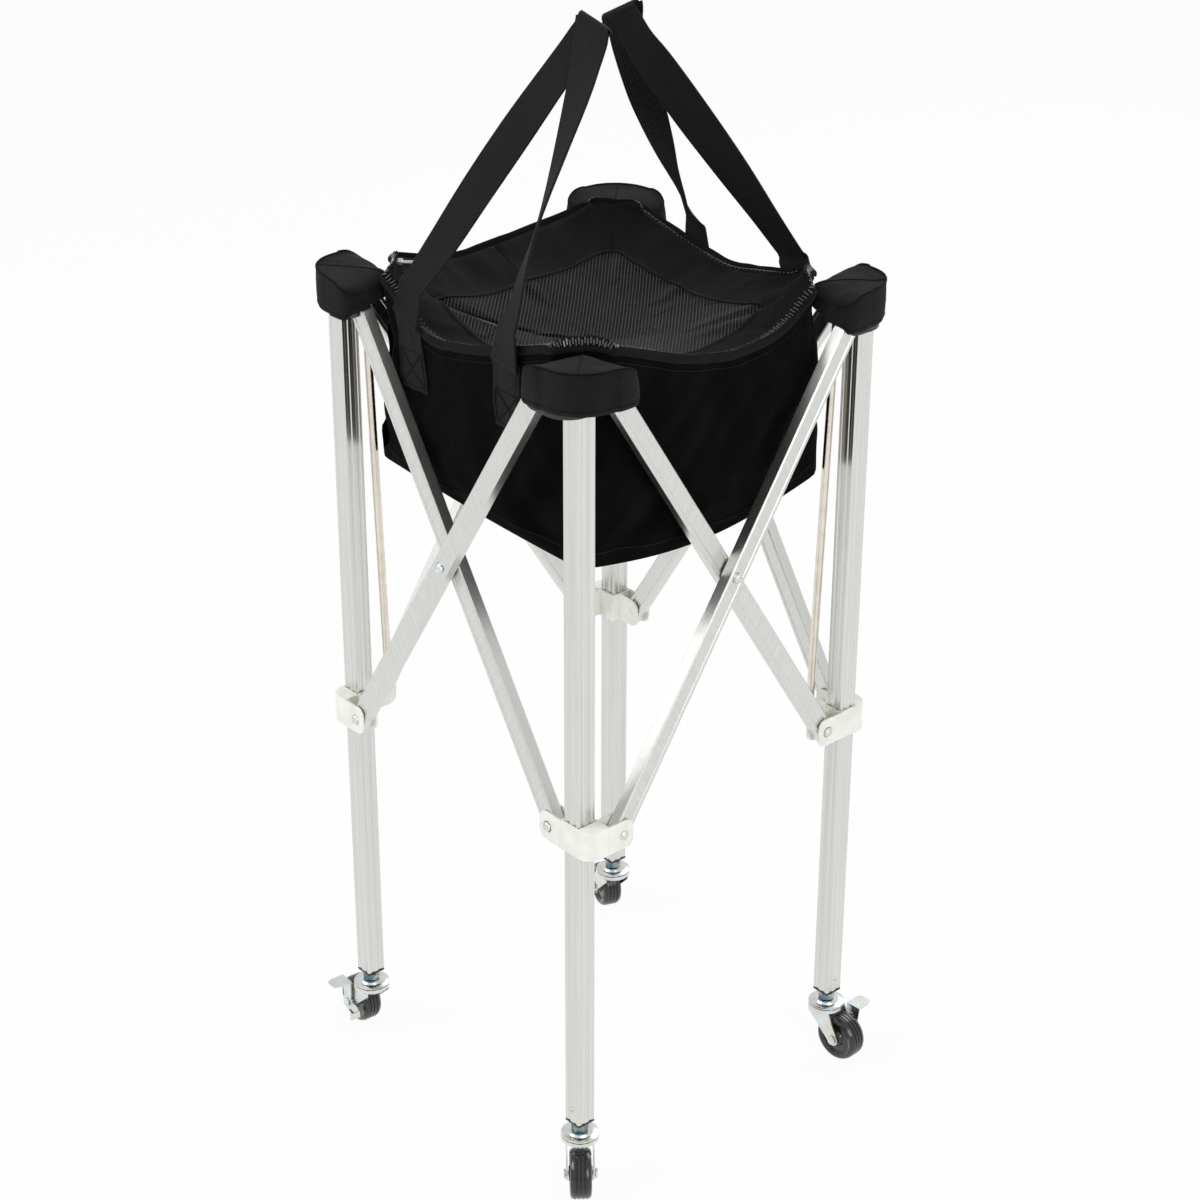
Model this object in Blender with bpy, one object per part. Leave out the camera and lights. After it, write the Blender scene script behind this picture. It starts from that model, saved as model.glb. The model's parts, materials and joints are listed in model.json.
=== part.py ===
"""Ball basket: a folding scissor frame on four casters that carries a zipped cloth ball bag.

Metres, +Z up. The origin is on the floor, under the middle of the frame. Every corner and every
side of the frame is the same piece turned by a quarter: corner F is at +X -Y, then R, B and L follow
anticlockwise, and each side is named by the corner at its right-hand end, seen from outside.
"Out" is the distance outward from the plane through two leg axes.
"""

import math

import bmesh
import bpy
from mathutils import Matrix, Vector

# Sides of the round pieces
WHEEL_STEPS = 20
CROWN_STEPS = 16
STEM_STEPS = 12
BOLT_STEPS = 8

# Frame
LEG_SPACING = 0.340
HALF = LEG_SPACING / 2
LEG_WIDTH = 0.0205
LEG_WALL = 0.0016
LEG_CHAMFER = 0.0010
LEG_GROOVES = [(-0.0066, -0.0024), (0.0024, 0.0066)]
LEG_BOTTOM = 0.075
LEG_TOP = 0.8485
PIN_INSET = 0.0304
TOP_PIN_Z = 0.830
SLIDER_PIN_Z = 0.3965
MID_PIN_Z = (TOP_PIN_Z + SLIDER_PIN_Z) / 2
GAP = 0.0003

# Scissor bars
BAR_WIDTH = 0.020
BAR_THICKNESS = 0.013
BAR_WALL = 0.0013
BAR_OVERHANG = 0.010
INNER_BAR_OUT = 0.004
OUTER_BAR_OUT = 0.018
BAR_CHAMFER = 0.0012
BAR_GROOVES = [(-0.0058, 0.0058)]
GROOVE_DEPTH = 0.0007
BOLT_RADIUS = 0.0025
BOLT_HOLE_RADIUS = 0.0029
BOLT_HEAD_RADIUS = 0.0042
BOLT_HEAD_HEIGHT = 0.0018

# Sliders and top brackets
SLEEVE_WIDTH = 0.026
SLIDER_HEIGHT = 0.030
CHEEK = 0.0022
CHEEK_GAP = 0.0005
LUG_REACH = 0.0420
BRACKET_LUG_REACH = 0.0400
LUG_ROUND = 0.009
SLEEVE_ROUND = 0.014
BRACKET_ROUND = 0.024
BRACKET_LOW = 0.815
BRACKET_CAP = 0.0032
GUSSET = 0.0195
GUSSET_CORNER = 0.006
GUSSET_DROP = 0.015

# Stop rods
ROD_RADIUS = 0.004
ROD_TOP_INSET = 0.0150
ROD_LOW_INSET = 0.0215
ROD_CLEARANCE = 0.0008

# Casters
WHEEL_RADIUS = 0.025
WHEEL_WIDTH = 0.022
WHEEL_BORE = 0.0034
CASTER_TRAIL = 0.022
CROWN_RADIUS = 0.019
CROWN_LOW = 0.0515
CROWN_TOP = 0.0563
CROWN_EDGE = 0.0012
FORK_EYE = 0.0068
FORK_TOP_HALF = 0.0125
PLATE_INNER = 0.0125
PLATE_OUTER = 0.0141
AXLE_RADIUS = 0.003
AXLE_HEAD_RADIUS = 0.005
AXLE_HEAD_HEIGHT = 0.0022
STEM_RADIUS = 0.005
KING_PIN_RADIUS = 0.004
RIVET_RADIUS = 0.006
RIVET_HEIGHT = 0.0022
RACEWAY_LOW = 0.0569
RACEWAY_TOP = 0.0605
RACEWAY_RADIUS = 0.0185
NUT_TOP = 0.0715
NUT_RADIUS = 0.0082
PLUG_FLANGE_LOW = 0.0722
PLUG_TOP = 0.100
LEVER_LOW = 0.0160
LEVER_THICKNESS = 0.0016
LEVER_HUB = 0.0085
PEDAL_REACH = 0.0365
PEDAL_ALONG = (0.0150, 0.0320)
PEDAL_LOW = 0.0526
PEDAL_CORNER = 0.005
TOE_REACH = 0.0275
TOE_LOW = 0.0168
TOE_TOP = 0.0247

# Bag, measured from its outer face
BAG_HALF = 0.160
BAG_BOTTOM_HALF = 0.150
BAG_BOTTOM_ROUND = 0.030
BAG_BOTTOM_Z = 0.652
BAG_WALL = 0.0025
POCKET_ARC = 0.0465
BAG_ARC = POCKET_ARC + 0.0006
RIM_CORNER_Z = 0.855
RIM_SAG = {"front": 0.042, "right": 0.043, "back": 0.031, "left": 0.018}
RIM_SAG_POWER = 4
SIDE_STEPS = 6
ARC_STEPS = 4

# Zip, lid and pockets
ZIP_INSET = 0.0005
ZIP_WIDTH = 0.010
ZIP_THICKNESS = 0.002
ZIP_RISE = 0.0008
PULL_RISE = 0.0034
PULL_BODY = 0.010
PULL_HEIGHT = 0.004
PULL_TAB = (0.006, 0.022)
PULL_TAB_THICKNESS = 0.0016
LID_INSET = 0.0125
LID_HINGE_INSET = 0.004
LID_RISE = 0.0008
LID_THICKNESS = 0.0015
LID_CENTRE_Z = 0.790
LID_DIP_POWER = 0.6
WINDOW_HALF = 0.110
WINDOW_ROUND = 0.008
WINDOW_SHARE = 0.30
NET_CELLS = 12
NET_STRAND = 0.0032
POCKET_OUT = 0.0312
POCKET_WALL = 0.0018
POCKET_LOW = 0.8188
HEM_LIFT = 0.0108
HEM_RUN = 0.004
POCKET_BAND_TOP = 0.855
POCKET_TOP = 0.860
POCKET_ROUND = 0.051
CAVITY_TOP = 0.8532

# Handles: 38 mm webbing, folded over at the top
STRAP_WIDTH = 0.038
STRAP_THICKNESS = 0.0022
STRAP_FOLD = 0.0035
HANDLE_FOOT_OUT = -0.0076
FRONT_RISE = [(-0.077, 0.824), (-0.071, 0.858), (-0.058, 0.893), (-0.023, 0.992), (0.021, 1.103)]
FRONT_FALL = [(0.035, 1.103), (0.048, 0.991), (0.057, 0.892), (0.061, 0.856), (0.063, 0.822)]
REAR_RISE = [(-0.036, 0.828), (-0.031, 0.858), (-0.021, 0.897), (-0.001, 0.995), (0.021, 1.104)]
REAR_FALL = [(0.039, 1.104), (0.065, 0.993), (0.084, 0.895), (0.092, 0.857), (0.094, 0.834)]
FRONT_LEAN_Y = -0.032
REAR_LEAN_Y = 0.022
LEAN_START_Z = 0.858

CORNERS = ["f", "r", "b", "l"]
SIDES = ["front", "right", "back", "left"]
CASTER_TURN = {"f": -39, "r": 4, "b": 160, "l": 176}
BRAKED = ["r", "l"]
QUARTER = math.pi / 2


def clear_scene():
    for thing in list(bpy.data.objects):
        bpy.data.objects.remove(thing, do_unlink=True)


def material(name, colour, roughness, metallic=0.0):
    made = bpy.data.materials.new(name)
    made.use_nodes = True
    made.diffuse_color = (*colour, 1)
    shader = made.node_tree.nodes["Principled BSDF"]
    shader.inputs["Base Color"].default_value = (*colour, 1)
    shader.inputs["Roughness"].default_value = roughness
    shader.inputs["Metallic"].default_value = metallic
    return made


def place(thing, parent=None, location=(0, 0, 0), rotation=(0, 0, 0)):
    bpy.context.scene.collection.objects.link(thing)
    thing.parent = parent
    thing.location = location
    thing.rotation_euler = rotation
    return thing


def empty(name, **where):
    return place(bpy.data.objects.new(name, None), **where)


def solid(name, mesh, finish, **where):
    """A named object that shows this mesh. Copies share the mesh and so the material."""
    if not mesh.materials:
        mesh.materials.append(finish)
    return place(bpy.data.objects.new(name, mesh), **where)


def mesh_of(bm, name, sharp_degrees=30):
    """The bmesh as a mesh, faces out, smooth but for its sharp edges."""
    bmesh.ops.remove_doubles(bm, verts=bm.verts, dist=1e-6)
    bmesh.ops.recalc_face_normals(bm, faces=bm.faces)
    if bm.calc_volume(signed=True) < 0:
        bmesh.ops.reverse_faces(bm, faces=bm.faces)
    mesh = bpy.data.meshes.new(name)
    bm.to_mesh(mesh)
    bm.free()
    mesh.shade_smooth()
    mesh.set_sharp_from_angle(angle=math.radians(sharp_degrees))
    return mesh


def prism(outlines, low, high):
    """Flat outlines, the first outside and any others holes, extruded along Z."""
    bm = bmesh.new()
    edges = []
    for outline in outlines:
        verts = [bm.verts.new((x, y, low)) for x, y in outline]
        edges += [bm.edges.new(pair) for pair in zip(verts, verts[1:] + verts[:1])]
    bmesh.ops.triangle_fill(bm, use_beauty=True, edges=edges)
    grown = bmesh.ops.extrude_face_region(bm, geom=bm.faces[:])["geom"]
    top = [item for item in grown if isinstance(item, bmesh.types.BMVert)]
    bmesh.ops.translate(bm, vec=(0, 0, high - low), verts=top)
    return bm


def turned(profile, steps):
    """A solid turned about Z from (radius, z) points, closed where they meet the axis or themselves."""
    bm = bmesh.new()
    verts = [bm.verts.new((radius, 0, z)) for radius, z in profile]
    pairs = list(zip(verts, verts[1:]))
    if profile[0][0] > 0:
        pairs.append((verts[-1], verts[0]))
    edges = [bm.edges.new(pair) for pair in pairs]
    bmesh.ops.spin(
        bm, geom=verts + edges, cent=(0, 0, 0), axis=(0, 0, 1), angle=2 * math.pi, steps=steps, use_merge=True
    )
    bmesh.ops.remove_doubles(bm, verts=bm.verts, dist=1e-6)
    return bm


def loft(rings, caps=True, closed=False):
    """Rings of points joined one to the next, capped at both ends or joined last to first."""
    bm = bmesh.new()
    rows = [[bm.verts.new(point) for point in ring] for ring in rings]
    following = rows[1:] + rows[:1] if closed else rows[1:]
    for here, after in zip(rows, following):
        for i in range(len(here)):
            j = (i + 1) % len(here)
            bm.faces.new((here[i], here[j], after[j], after[i]))
    if caps and not closed:
        bm.faces.new(rows[0])
        bm.faces.new(rows[-1])
    return bm


def transformed(bm, matrix):
    bmesh.ops.transform(bm, matrix=matrix, verts=bm.verts)
    return bm


def combined(name, base, unions=(), cuts=()):
    """One mesh: the base with the unions joined to it and the cuts taken out of it."""
    helpers = [bpy.data.objects.new(name, mesh_of(base, name))]
    bpy.context.scene.collection.objects.link(helpers[0])
    for operation, shapes in (("UNION", unions), ("DIFFERENCE", cuts)):
        for shape in shapes:
            helper = bpy.data.objects.new(name + "_helper", mesh_of(shape, name + "_helper"))
            bpy.context.scene.collection.objects.link(helper)
            helpers.append(helper)
            modifier = helpers[0].modifiers.new(operation.lower(), "BOOLEAN")
            modifier.operation = operation
            modifier.object = helper
    graph = bpy.context.evaluated_depsgraph_get()
    mesh = bpy.data.meshes.new_from_object(helpers[0].evaluated_get(graph))
    for helper in helpers:
        bpy.data.objects.remove(helper, do_unlink=True)
    bm = bmesh.new()
    bm.from_mesh(mesh)
    bmesh.ops.dissolve_limit(bm, angle_limit=math.radians(0.5), verts=bm.verts, edges=bm.edges)
    return mesh_of(bm, name)


def circle(radius, steps, centre=(0, 0), turn=0.0):
    angles = [turn + 2 * math.pi * i / steps for i in range(steps)]
    return [(centre[0] + radius * math.cos(a), centre[1] + radius * math.sin(a)) for a in angles]


def arc(centre, radius, start, end, steps):
    angles = [start + (end - start) * i / steps for i in range(steps + 1)]
    return [(centre[0] + radius * math.cos(a), centre[1] + radius * math.sin(a)) for a in angles]


def square(half):
    return [(-half, -half), (half, -half), (half, half), (-half, half)]


def quarter_turned(points, count):
    turn = Matrix.Rotation(QUARTER * count, 2)
    return [tuple(turn @ Vector(point)) for point in points]


def along_out(bm, low):
    """A shape drawn in (side, height) and extruded from 0 set upright: its thickness starts at out = low."""
    return transformed(bm, Matrix.Translation((0, -low, 0)) @ Matrix.Rotation(QUARTER, 4, "X"))


def grooved_side(half, across, grooves):
    """One side of an extrusion's outline at y = -half, with its shallow grooves."""
    points = [(-across, -half)]
    for low, high in grooves:
        points += [(low, -half), (low + GROOVE_DEPTH, -half + GROOVE_DEPTH)]
        points += [(high - GROOVE_DEPTH, -half + GROOVE_DEPTH), (high, -half)]
    return points + [(across, -half)]


def leg_mesh():
    half = LEG_WIDTH / 2
    side = grooved_side(half, half - LEG_CHAMFER, LEG_GROOVES)
    outline = [point for count in range(4) for point in quarter_turned(side, count)]
    return mesh_of(prism([outline, square(half - LEG_WALL)], LEG_BOTTOM, LEG_TOP), "leg")


def bar_mesh():
    """A bar along X with its middle pin at the origin: its section drawn out, then bored for three bolts."""
    wide = grooved_side(BAR_THICKNESS / 2, BAR_WIDTH / 2 - BAR_CHAMFER, BAR_GROOVES)
    edge = BAR_THICKNESS / 2 - BAR_CHAMFER
    narrow = [(BAR_WIDTH / 2, -edge), (BAR_WIDTH / 2, edge)]
    half_outline = wide + narrow
    outline = half_outline + quarter_turned(half_outline, 2)
    bore_x = BAR_WIDTH / 2 - BAR_WALL
    bore_y = BAR_THICKNESS / 2 - BAR_WALL - GROOVE_DEPTH
    bore = [(-bore_x, -bore_y), (bore_x, -bore_y), (bore_x, bore_y), (-bore_x, bore_y)]
    reach = bar_length() / 2
    body = prism([outline, bore], -reach - BAR_OVERHANG, reach + BAR_OVERHANG)
    transformed(body, Matrix.Rotation(QUARTER, 4, "Y"))
    holes = []
    for along in (-reach, 0, reach):
        hole = prism([circle(BOLT_HOLE_RADIUS, BOLT_STEPS, (along, 0))], 0, 2 * BAR_THICKNESS)
        holes.append(along_out(hole, -BAR_THICKNESS))
    return combined("bar", body, cuts=holes)


def bar_length():
    return math.hypot(LEG_SPACING - 2 * PIN_INSET, TOP_PIN_Z - SLIDER_PIN_Z)


def bolt(low_out, high_out, centre):
    """A bolt across two cheeks or bars: its head outside, its nut inside, and its shank between."""
    profile = [
        (0, low_out - BOLT_HEAD_HEIGHT),
        (BOLT_HEAD_RADIUS, low_out - BOLT_HEAD_HEIGHT),
        (BOLT_HEAD_RADIUS, low_out),
        (BOLT_RADIUS, low_out),
        (BOLT_RADIUS, high_out),
        (BOLT_HEAD_RADIUS, high_out),
        (BOLT_HEAD_RADIUS, high_out + BOLT_HEAD_HEIGHT),
        (0, high_out + BOLT_HEAD_HEIGHT),
    ]
    turn = Matrix.Rotation(QUARTER, 4, "X")
    return transformed(turned(profile, BOLT_STEPS), Matrix.Translation((centre[0], 0, centre[1])) @ turn)


def lug(bar_out, reach):
    """The two cheeks and the bolt that hold one bar end, on the front side, reaching towards -X."""
    half = SLIDER_HEIGHT / 2 - GAP
    start = -SLEEVE_WIDTH / 2 + CHEEK / 2
    outline = [(start, half), (-reach + LUG_ROUND, half)]
    outline += arc((-reach + LUG_ROUND, half - LUG_ROUND), LUG_ROUND, QUARTER, 2 * QUARTER, 3)[1:]
    outline += arc((-reach + LUG_ROUND, LUG_ROUND - half), LUG_ROUND, 2 * QUARTER, 3 * QUARTER, 3)
    outline.append((start, -half))
    inner = bar_out - BAR_THICKNESS / 2 - CHEEK_GAP
    outer = bar_out + BAR_THICKNESS / 2 + CHEEK_GAP
    cheeks = [along_out(prism([outline], 0, CHEEK), low) for low in (inner - CHEEK, outer)]
    return cheeks + [bolt(inner - CHEEK + GAP, outer + CHEEK - GAP, (-PIN_INSET, 0))]


def sleeve_outline(front_out, right_out, radius):
    """Plan of the block round a leg at corner F, as deep on each side as its lug's outer cheek."""
    back = SLEEVE_WIDTH / 2
    front = front_out + BAR_THICKNESS / 2 + CHEEK_GAP + CHEEK - GAP
    right = right_out + BAR_THICKNESS / 2 + CHEEK_GAP + CHEEK - GAP
    rounding = arc((right - radius, radius - front), radius, -QUARTER, 0, 5)
    return [(-back, -front)] + rounding + [(right, back), (-back, back)]


def pivot_block(name, front_out, right_out, reach, low, high, closed_top=False):
    """A slider or top bracket at corner F: the sleeve, a lug on each of the two sides, and their bolts.

    Heights are from the pins. The bars' centre planes lie at front_out and right_out.
    """
    hole = square(LEG_WIDTH / 2 + GAP)
    radius = BRACKET_ROUND if closed_top else SLEEVE_ROUND
    outline = sleeve_outline(front_out, right_out, radius)
    base = prism([outline, hole], low, high)
    unions = lug(front_out, reach)
    mirror = Matrix(((0, -1, 0, 0), (-1, 0, 0, 0), (0, 0, 1, 0), (0, 0, 0, 1)))
    for shape in lug(right_out, reach):
        transformed(shape, mirror)
        bmesh.ops.reverse_faces(shape, faces=shape.faces)
        unions.append(shape)
    if closed_top:
        root = LEG_WIDTH / 2 + 2 * GAP
        gusset = [(-root, 0), (-GUSSET, GUSSET - GUSSET_CORNER), (-GUSSET, GUSSET)]
        gusset += [(GUSSET_CORNER - GUSSET, GUSSET), (0, root), (-root, root)]
        unions.append(prism([gusset], low + GAP, high - GUSSET_DROP))
        unions.append(prism([square(SLEEVE_WIDTH / 2 - GAP)], high - BRACKET_CAP, high + GAP))
    return combined(name, base, unions)


def rod_mesh():
    """A stop rod beside the leg, drawn at corner F and leaning inward to its lower end."""
    top_z = BRACKET_LOW - ROD_CLEARANCE
    low_z = SLIDER_PIN_Z + SLIDER_HEIGHT / 2 + ROD_CLEARANCE
    rings = []
    for inset, z in ((ROD_LOW_INSET, low_z), (ROD_TOP_INSET, top_z)):
        rings.append([(x, y, z) for x, y in circle(ROD_RADIUS, STEM_STEPS, (-inset, inset))])
    return mesh_of(loft(rings), "stop_rod")


def plug_mesh():
    half = LEG_WIDTH / 2 - LEG_WALL - GAP
    hole = circle(STEM_RADIUS + 2 * GAP, STEM_STEPS)
    flange = prism([square(LEG_WIDTH / 2 - GAP), hole], PLUG_FLANGE_LOW, LEG_BOTTOM - GAP)
    body = prism([square(half), hole], LEG_BOTTOM - 2 * GAP, PLUG_TOP)
    return combined("leg_plug", flange, [body])


def stem_mesh():
    """Threaded stem, lock nut, upper raceway and the king pin that the fork turns on."""
    profile = [
        (0, CROWN_LOW - 2 * GAP - RIVET_HEIGHT),
        (RIVET_RADIUS - 2 * GAP, CROWN_LOW - 2 * GAP - RIVET_HEIGHT),
        (RIVET_RADIUS, CROWN_LOW - 2 * GAP),
        (KING_PIN_RADIUS, CROWN_LOW - 2 * GAP),
        (KING_PIN_RADIUS, RACEWAY_LOW),
        (RACEWAY_RADIUS - 0.001, RACEWAY_LOW),
        (RACEWAY_RADIUS, RACEWAY_LOW + 0.0012),
        (RACEWAY_RADIUS - 0.004, RACEWAY_TOP),
        (NUT_RADIUS, RACEWAY_TOP + 0.001),
        (NUT_RADIUS, NUT_TOP - 0.0006),
        (STEM_RADIUS, NUT_TOP - 0.0002),
        (STEM_RADIUS, PLUG_TOP - 0.004),
        (0, PLUG_TOP - 0.004),
    ]
    return mesh_of(turned(profile, STEM_STEPS), "caster_stem")


def fork_mesh():
    """The pressed fork, trailing towards +X: a raceway crown and two cheeks that taper to the axle."""
    crown_profile = [
        (KING_PIN_RADIUS + GAP, CROWN_LOW),
        (CROWN_RADIUS - CROWN_EDGE, CROWN_LOW),
        (CROWN_RADIUS, CROWN_LOW + CROWN_EDGE),
        (CROWN_RADIUS - CROWN_EDGE / 2, CROWN_TOP),
        (KING_PIN_RADIUS + GAP, CROWN_TOP),
    ]
    top = CROWN_TOP - 0.001
    outline = [(-FORK_TOP_HALF, top), (0.0005 - FORK_TOP_HALF, CROWN_LOW - 0.004)]
    outline += arc((CASTER_TRAIL, WHEEL_RADIUS), FORK_EYE, math.radians(215), math.radians(375), 5)
    outline += [(FORK_TOP_HALF + 0.004, CROWN_LOW - 0.002), (FORK_TOP_HALF, top)]
    hole = circle(AXLE_RADIUS + 2 * GAP, BOLT_STEPS, (CASTER_TRAIL, WHEEL_RADIUS))
    cheeks = []
    for low in (PLATE_INNER, -PLATE_OUTER):
        cheek = prism([outline, hole], 0, PLATE_OUTER - PLATE_INNER)
        cheeks.append(along_out(cheek, low))
    return combined("caster_fork", turned(crown_profile, CROWN_STEPS), cheeks)


def on_axle(bm):
    """Moves a piece drawn about Z so that it lies about the wheel's axle."""
    axle = Matrix.Translation((CASTER_TRAIL, 0, WHEEL_RADIUS))
    return transformed(bm, axle @ Matrix.Rotation(QUARTER, 4, "X"))


def wheel_mesh():
    """A moulded wheel, turned half a step so that it stands on a flat of its tread."""
    half = WHEEL_WIDTH / 2
    tread = WHEEL_RADIUS / math.cos(math.pi / WHEEL_STEPS)
    profile = [
        (WHEEL_BORE, -half - 0.0008),
        (0.0080, -half - 0.0008),
        (tread - 0.007, -half + 0.0025),
        (tread - 0.003, -half),
        (tread, -half + 0.004),
    ]
    profile += [(radius, -z) for radius, z in reversed(profile)]
    bm = turned(profile, WHEEL_STEPS)
    transformed(bm, Matrix.Rotation(math.pi / WHEEL_STEPS, 4, "Z"))
    return mesh_of(on_axle(bm), "caster_wheel")


def axle_mesh(long_side):
    """The axle bolt, longer on the side of a brake lever."""
    short_side = PLATE_OUTER + GAP
    profile = [
        (0, -long_side - AXLE_HEAD_HEIGHT),
        (AXLE_HEAD_RADIUS, -long_side - AXLE_HEAD_HEIGHT),
        (AXLE_HEAD_RADIUS, -long_side),
        (AXLE_RADIUS, -long_side),
        (AXLE_RADIUS, short_side),
        (AXLE_HEAD_RADIUS, short_side),
        (AXLE_HEAD_RADIUS, short_side + AXLE_HEAD_HEIGHT),
        (0, short_side + AXLE_HEAD_HEIGHT),
    ]
    return mesh_of(on_axle(turned(profile, BOLT_STEPS)), "caster_axle")


def lever_mesh():
    """The brake's rocker on the axle: a hub, a pedal above it and a toe in front, both bent outward."""
    centre = (CASTER_TRAIL, WHEEL_RADIUS)
    bore = circle(AXLE_RADIUS + 2 * GAP, BOLT_STEPS, centre)
    hub = prism([circle(LEVER_HUB, STEM_STEPS, centre), bore], 0, LEVER_THICKNESS)
    near, far = PEDAL_ALONG
    high = PEDAL_LOW + LEVER_THICKNESS / 2
    arm = [(near + 0.001, 0.028), (far - 0.003, 0.028), (far, high), (near, high)]
    toe_arm = [(0.0200, 0.0185), (0.0180, 0.0300), (0, TOE_TOP), (0, TOE_LOW)]
    plates = []
    for shape in (arm, toe_arm):
        plates.append(along_out(prism([shape], 0, LEVER_THICKNESS - 2 * GAP), LEVER_LOW + GAP))
    pedal = [(near, -LEVER_LOW), (far, -LEVER_LOW), (far, PEDAL_CORNER - PEDAL_REACH)]
    pedal += [(far - 0.003, -PEDAL_REACH), (near + 0.003, -PEDAL_REACH), (near, PEDAL_CORNER - PEDAL_REACH)]
    toe = [(0, -LEVER_LOW), (LEVER_THICKNESS, -LEVER_LOW), (LEVER_THICKNESS, -TOE_REACH), (0, -TOE_REACH)]
    tabs = [prism([pedal], PEDAL_LOW, PEDAL_LOW + LEVER_THICKNESS)]
    tabs.append(prism([toe], TOE_LOW + GAP / 2, TOE_TOP - GAP / 2))
    lever = combined("brake_lever", along_out(hub, LEVER_LOW), plates + tabs)
    bm = bmesh.new()
    bm.from_mesh(lever)
    transformed(bm, Matrix.Scale(-1, 4, (0, 1, 0)))
    return mesh_of(bm, "brake_lever")


def cut_outline(inset, hinge_inset=None):
    """Plan of the bag's top, inset from its outer face: a square cut back at its corners by the pockets."""
    half = BAG_HALF - inset
    reach = BAG_ARC + inset
    along = math.sqrt(reach**2 - (HALF - half) ** 2)
    lean = math.atan2(HALF - half, along)
    end = HALF - along
    side = [(end * (2 * i / SIDE_STEPS - 1), -half) for i in range(SIDE_STEPS + 1)]
    side += arc((HALF, -HALF), reach, math.pi - lean, QUARTER + lean, ARC_STEPS)[1:-1]
    points = [point for count in range(4) for point in quarter_turned(side, count)]
    if hinge_inset is not None:
        points = [(-BAG_HALF + hinge_inset, y) if x < -half + 1e-5 else (x, y) for x, y in points]
    return points


def round_outline(half, radius):
    """A rounded square with as many points as cut_outline, in the same order."""
    end = half - radius
    side = [(end * (2 * i / SIDE_STEPS - 1), -half) for i in range(SIDE_STEPS + 1)]
    side += arc((end, -end), radius, -QUARTER, 0, ARC_STEPS)[1:-1]
    return [point for count in range(4) for point in quarter_turned(side, count)]


def rim_z(x, y):
    """Height of the bag's rim, which hangs between the corner pockets."""
    if abs(y) > abs(x):
        side, along = ("front" if y < 0 else "back"), x
    else:
        side, along = ("right" if x > 0 else "left"), y
    end = HALF - math.sqrt(BAG_ARC**2 - (HALF - BAG_HALF) ** 2)
    slack = 1 - min(1, abs(along) / end) ** RIM_SAG_POWER
    return RIM_CORNER_Z - RIM_SAG[side] * slack


def bag_mesh():
    """The open bag: a thin wall from the hanging rim to a flat floor, rounder and narrower at the bottom."""

    def ring(level, inset, floor):
        top = cut_outline(inset)
        low = round_outline(BAG_BOTTOM_HALF - inset, BAG_BOTTOM_ROUND)
        blend = level**0.7
        points = []
        for (tx, ty), (bx, by) in zip(top, low):
            z = floor + (rim_z(tx, ty) - floor) * level
            points.append((bx + (tx - bx) * blend, by + (ty - by) * blend, z))
        return points

    levels = [0, 0.08, 0.35, 0.7, 1]
    outside = [ring(level, 0, BAG_BOTTOM_Z) for level in levels]
    inside = [ring(level, BAG_WALL, BAG_BOTTOM_Z + BAG_WALL) for level in reversed(levels)]
    return mesh_of(loft(outside + inside), "bag_body")


def zip_mesh():
    """The zip's tape and teeth over the rim, open along the lid's hinge on the left."""
    rings = []
    outer = cut_outline(ZIP_INSET)
    inner = cut_outline(ZIP_INSET + ZIP_WIDTH)
    per_side = SIDE_STEPS + ARC_STEPS
    hinge = 3 * per_side
    for index in list(range(hinge + SIDE_STEPS + 1, 4 * per_side)) + list(range(hinge)):
        (ox, oy), (ix, iy) = outer[index], inner[index]
        z = rim_z(ox, oy) + ZIP_RISE
        rings.append([(ox, oy, z), (ix, iy, z), (ix, iy, z + ZIP_THICKNESS), (ox, oy, z + ZIP_THICKNESS)])
    return mesh_of(loft(rings), "zip_tape")


def lid_ring(outline, share):
    """A ring of the lid at this share of the way from the rim to the centre, with the lid's dip."""
    edge = cut_outline(0)
    dip = share**LID_DIP_POWER
    points = []
    for (x, y), (ex, ey) in zip(outline, edge):
        z = rim_z(ex, ey) + LID_RISE
        points.append((x, y, z + (LID_CENTRE_Z - z) * dip))
    return points


def raised(ring, rise):
    return [(x, y, z + rise) for x, y, z in ring]


def lid_border_mesh():
    """The lid's cloth frame, from the zip to the mesh window, with its hinge edge on the left."""
    outer = lid_ring(cut_outline(LID_INSET, LID_HINGE_INSET), 0.0)
    window = round_outline(WINDOW_HALF + GAP, WINDOW_ROUND)
    middle = [((ox + wx) / 2, (oy + wy) / 2) for (ox, oy, _), (wx, wy) in zip(outer, window)]
    rings = [outer, lid_ring(middle, WINDOW_SHARE / 2), lid_ring(window, WINDOW_SHARE)]
    tops = [raised(ring, LID_THICKNESS) for ring in rings]
    return mesh_of(loft(tops + rings[::-1], closed=True), "lid_border")


def net_z(x, y):
    """Height of the lid's net, which dips from the window's edge to the centre."""
    reach = max(abs(x), abs(y), WINDOW_HALF / NET_CELLS)
    out = BAG_HALF / reach
    z = rim_z(x * out, y * out) + LID_RISE
    share = 1 - (1 - WINDOW_SHARE) * reach / WINDOW_HALF
    return z + (LID_CENTRE_Z - z) * share**LID_DIP_POWER


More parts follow.
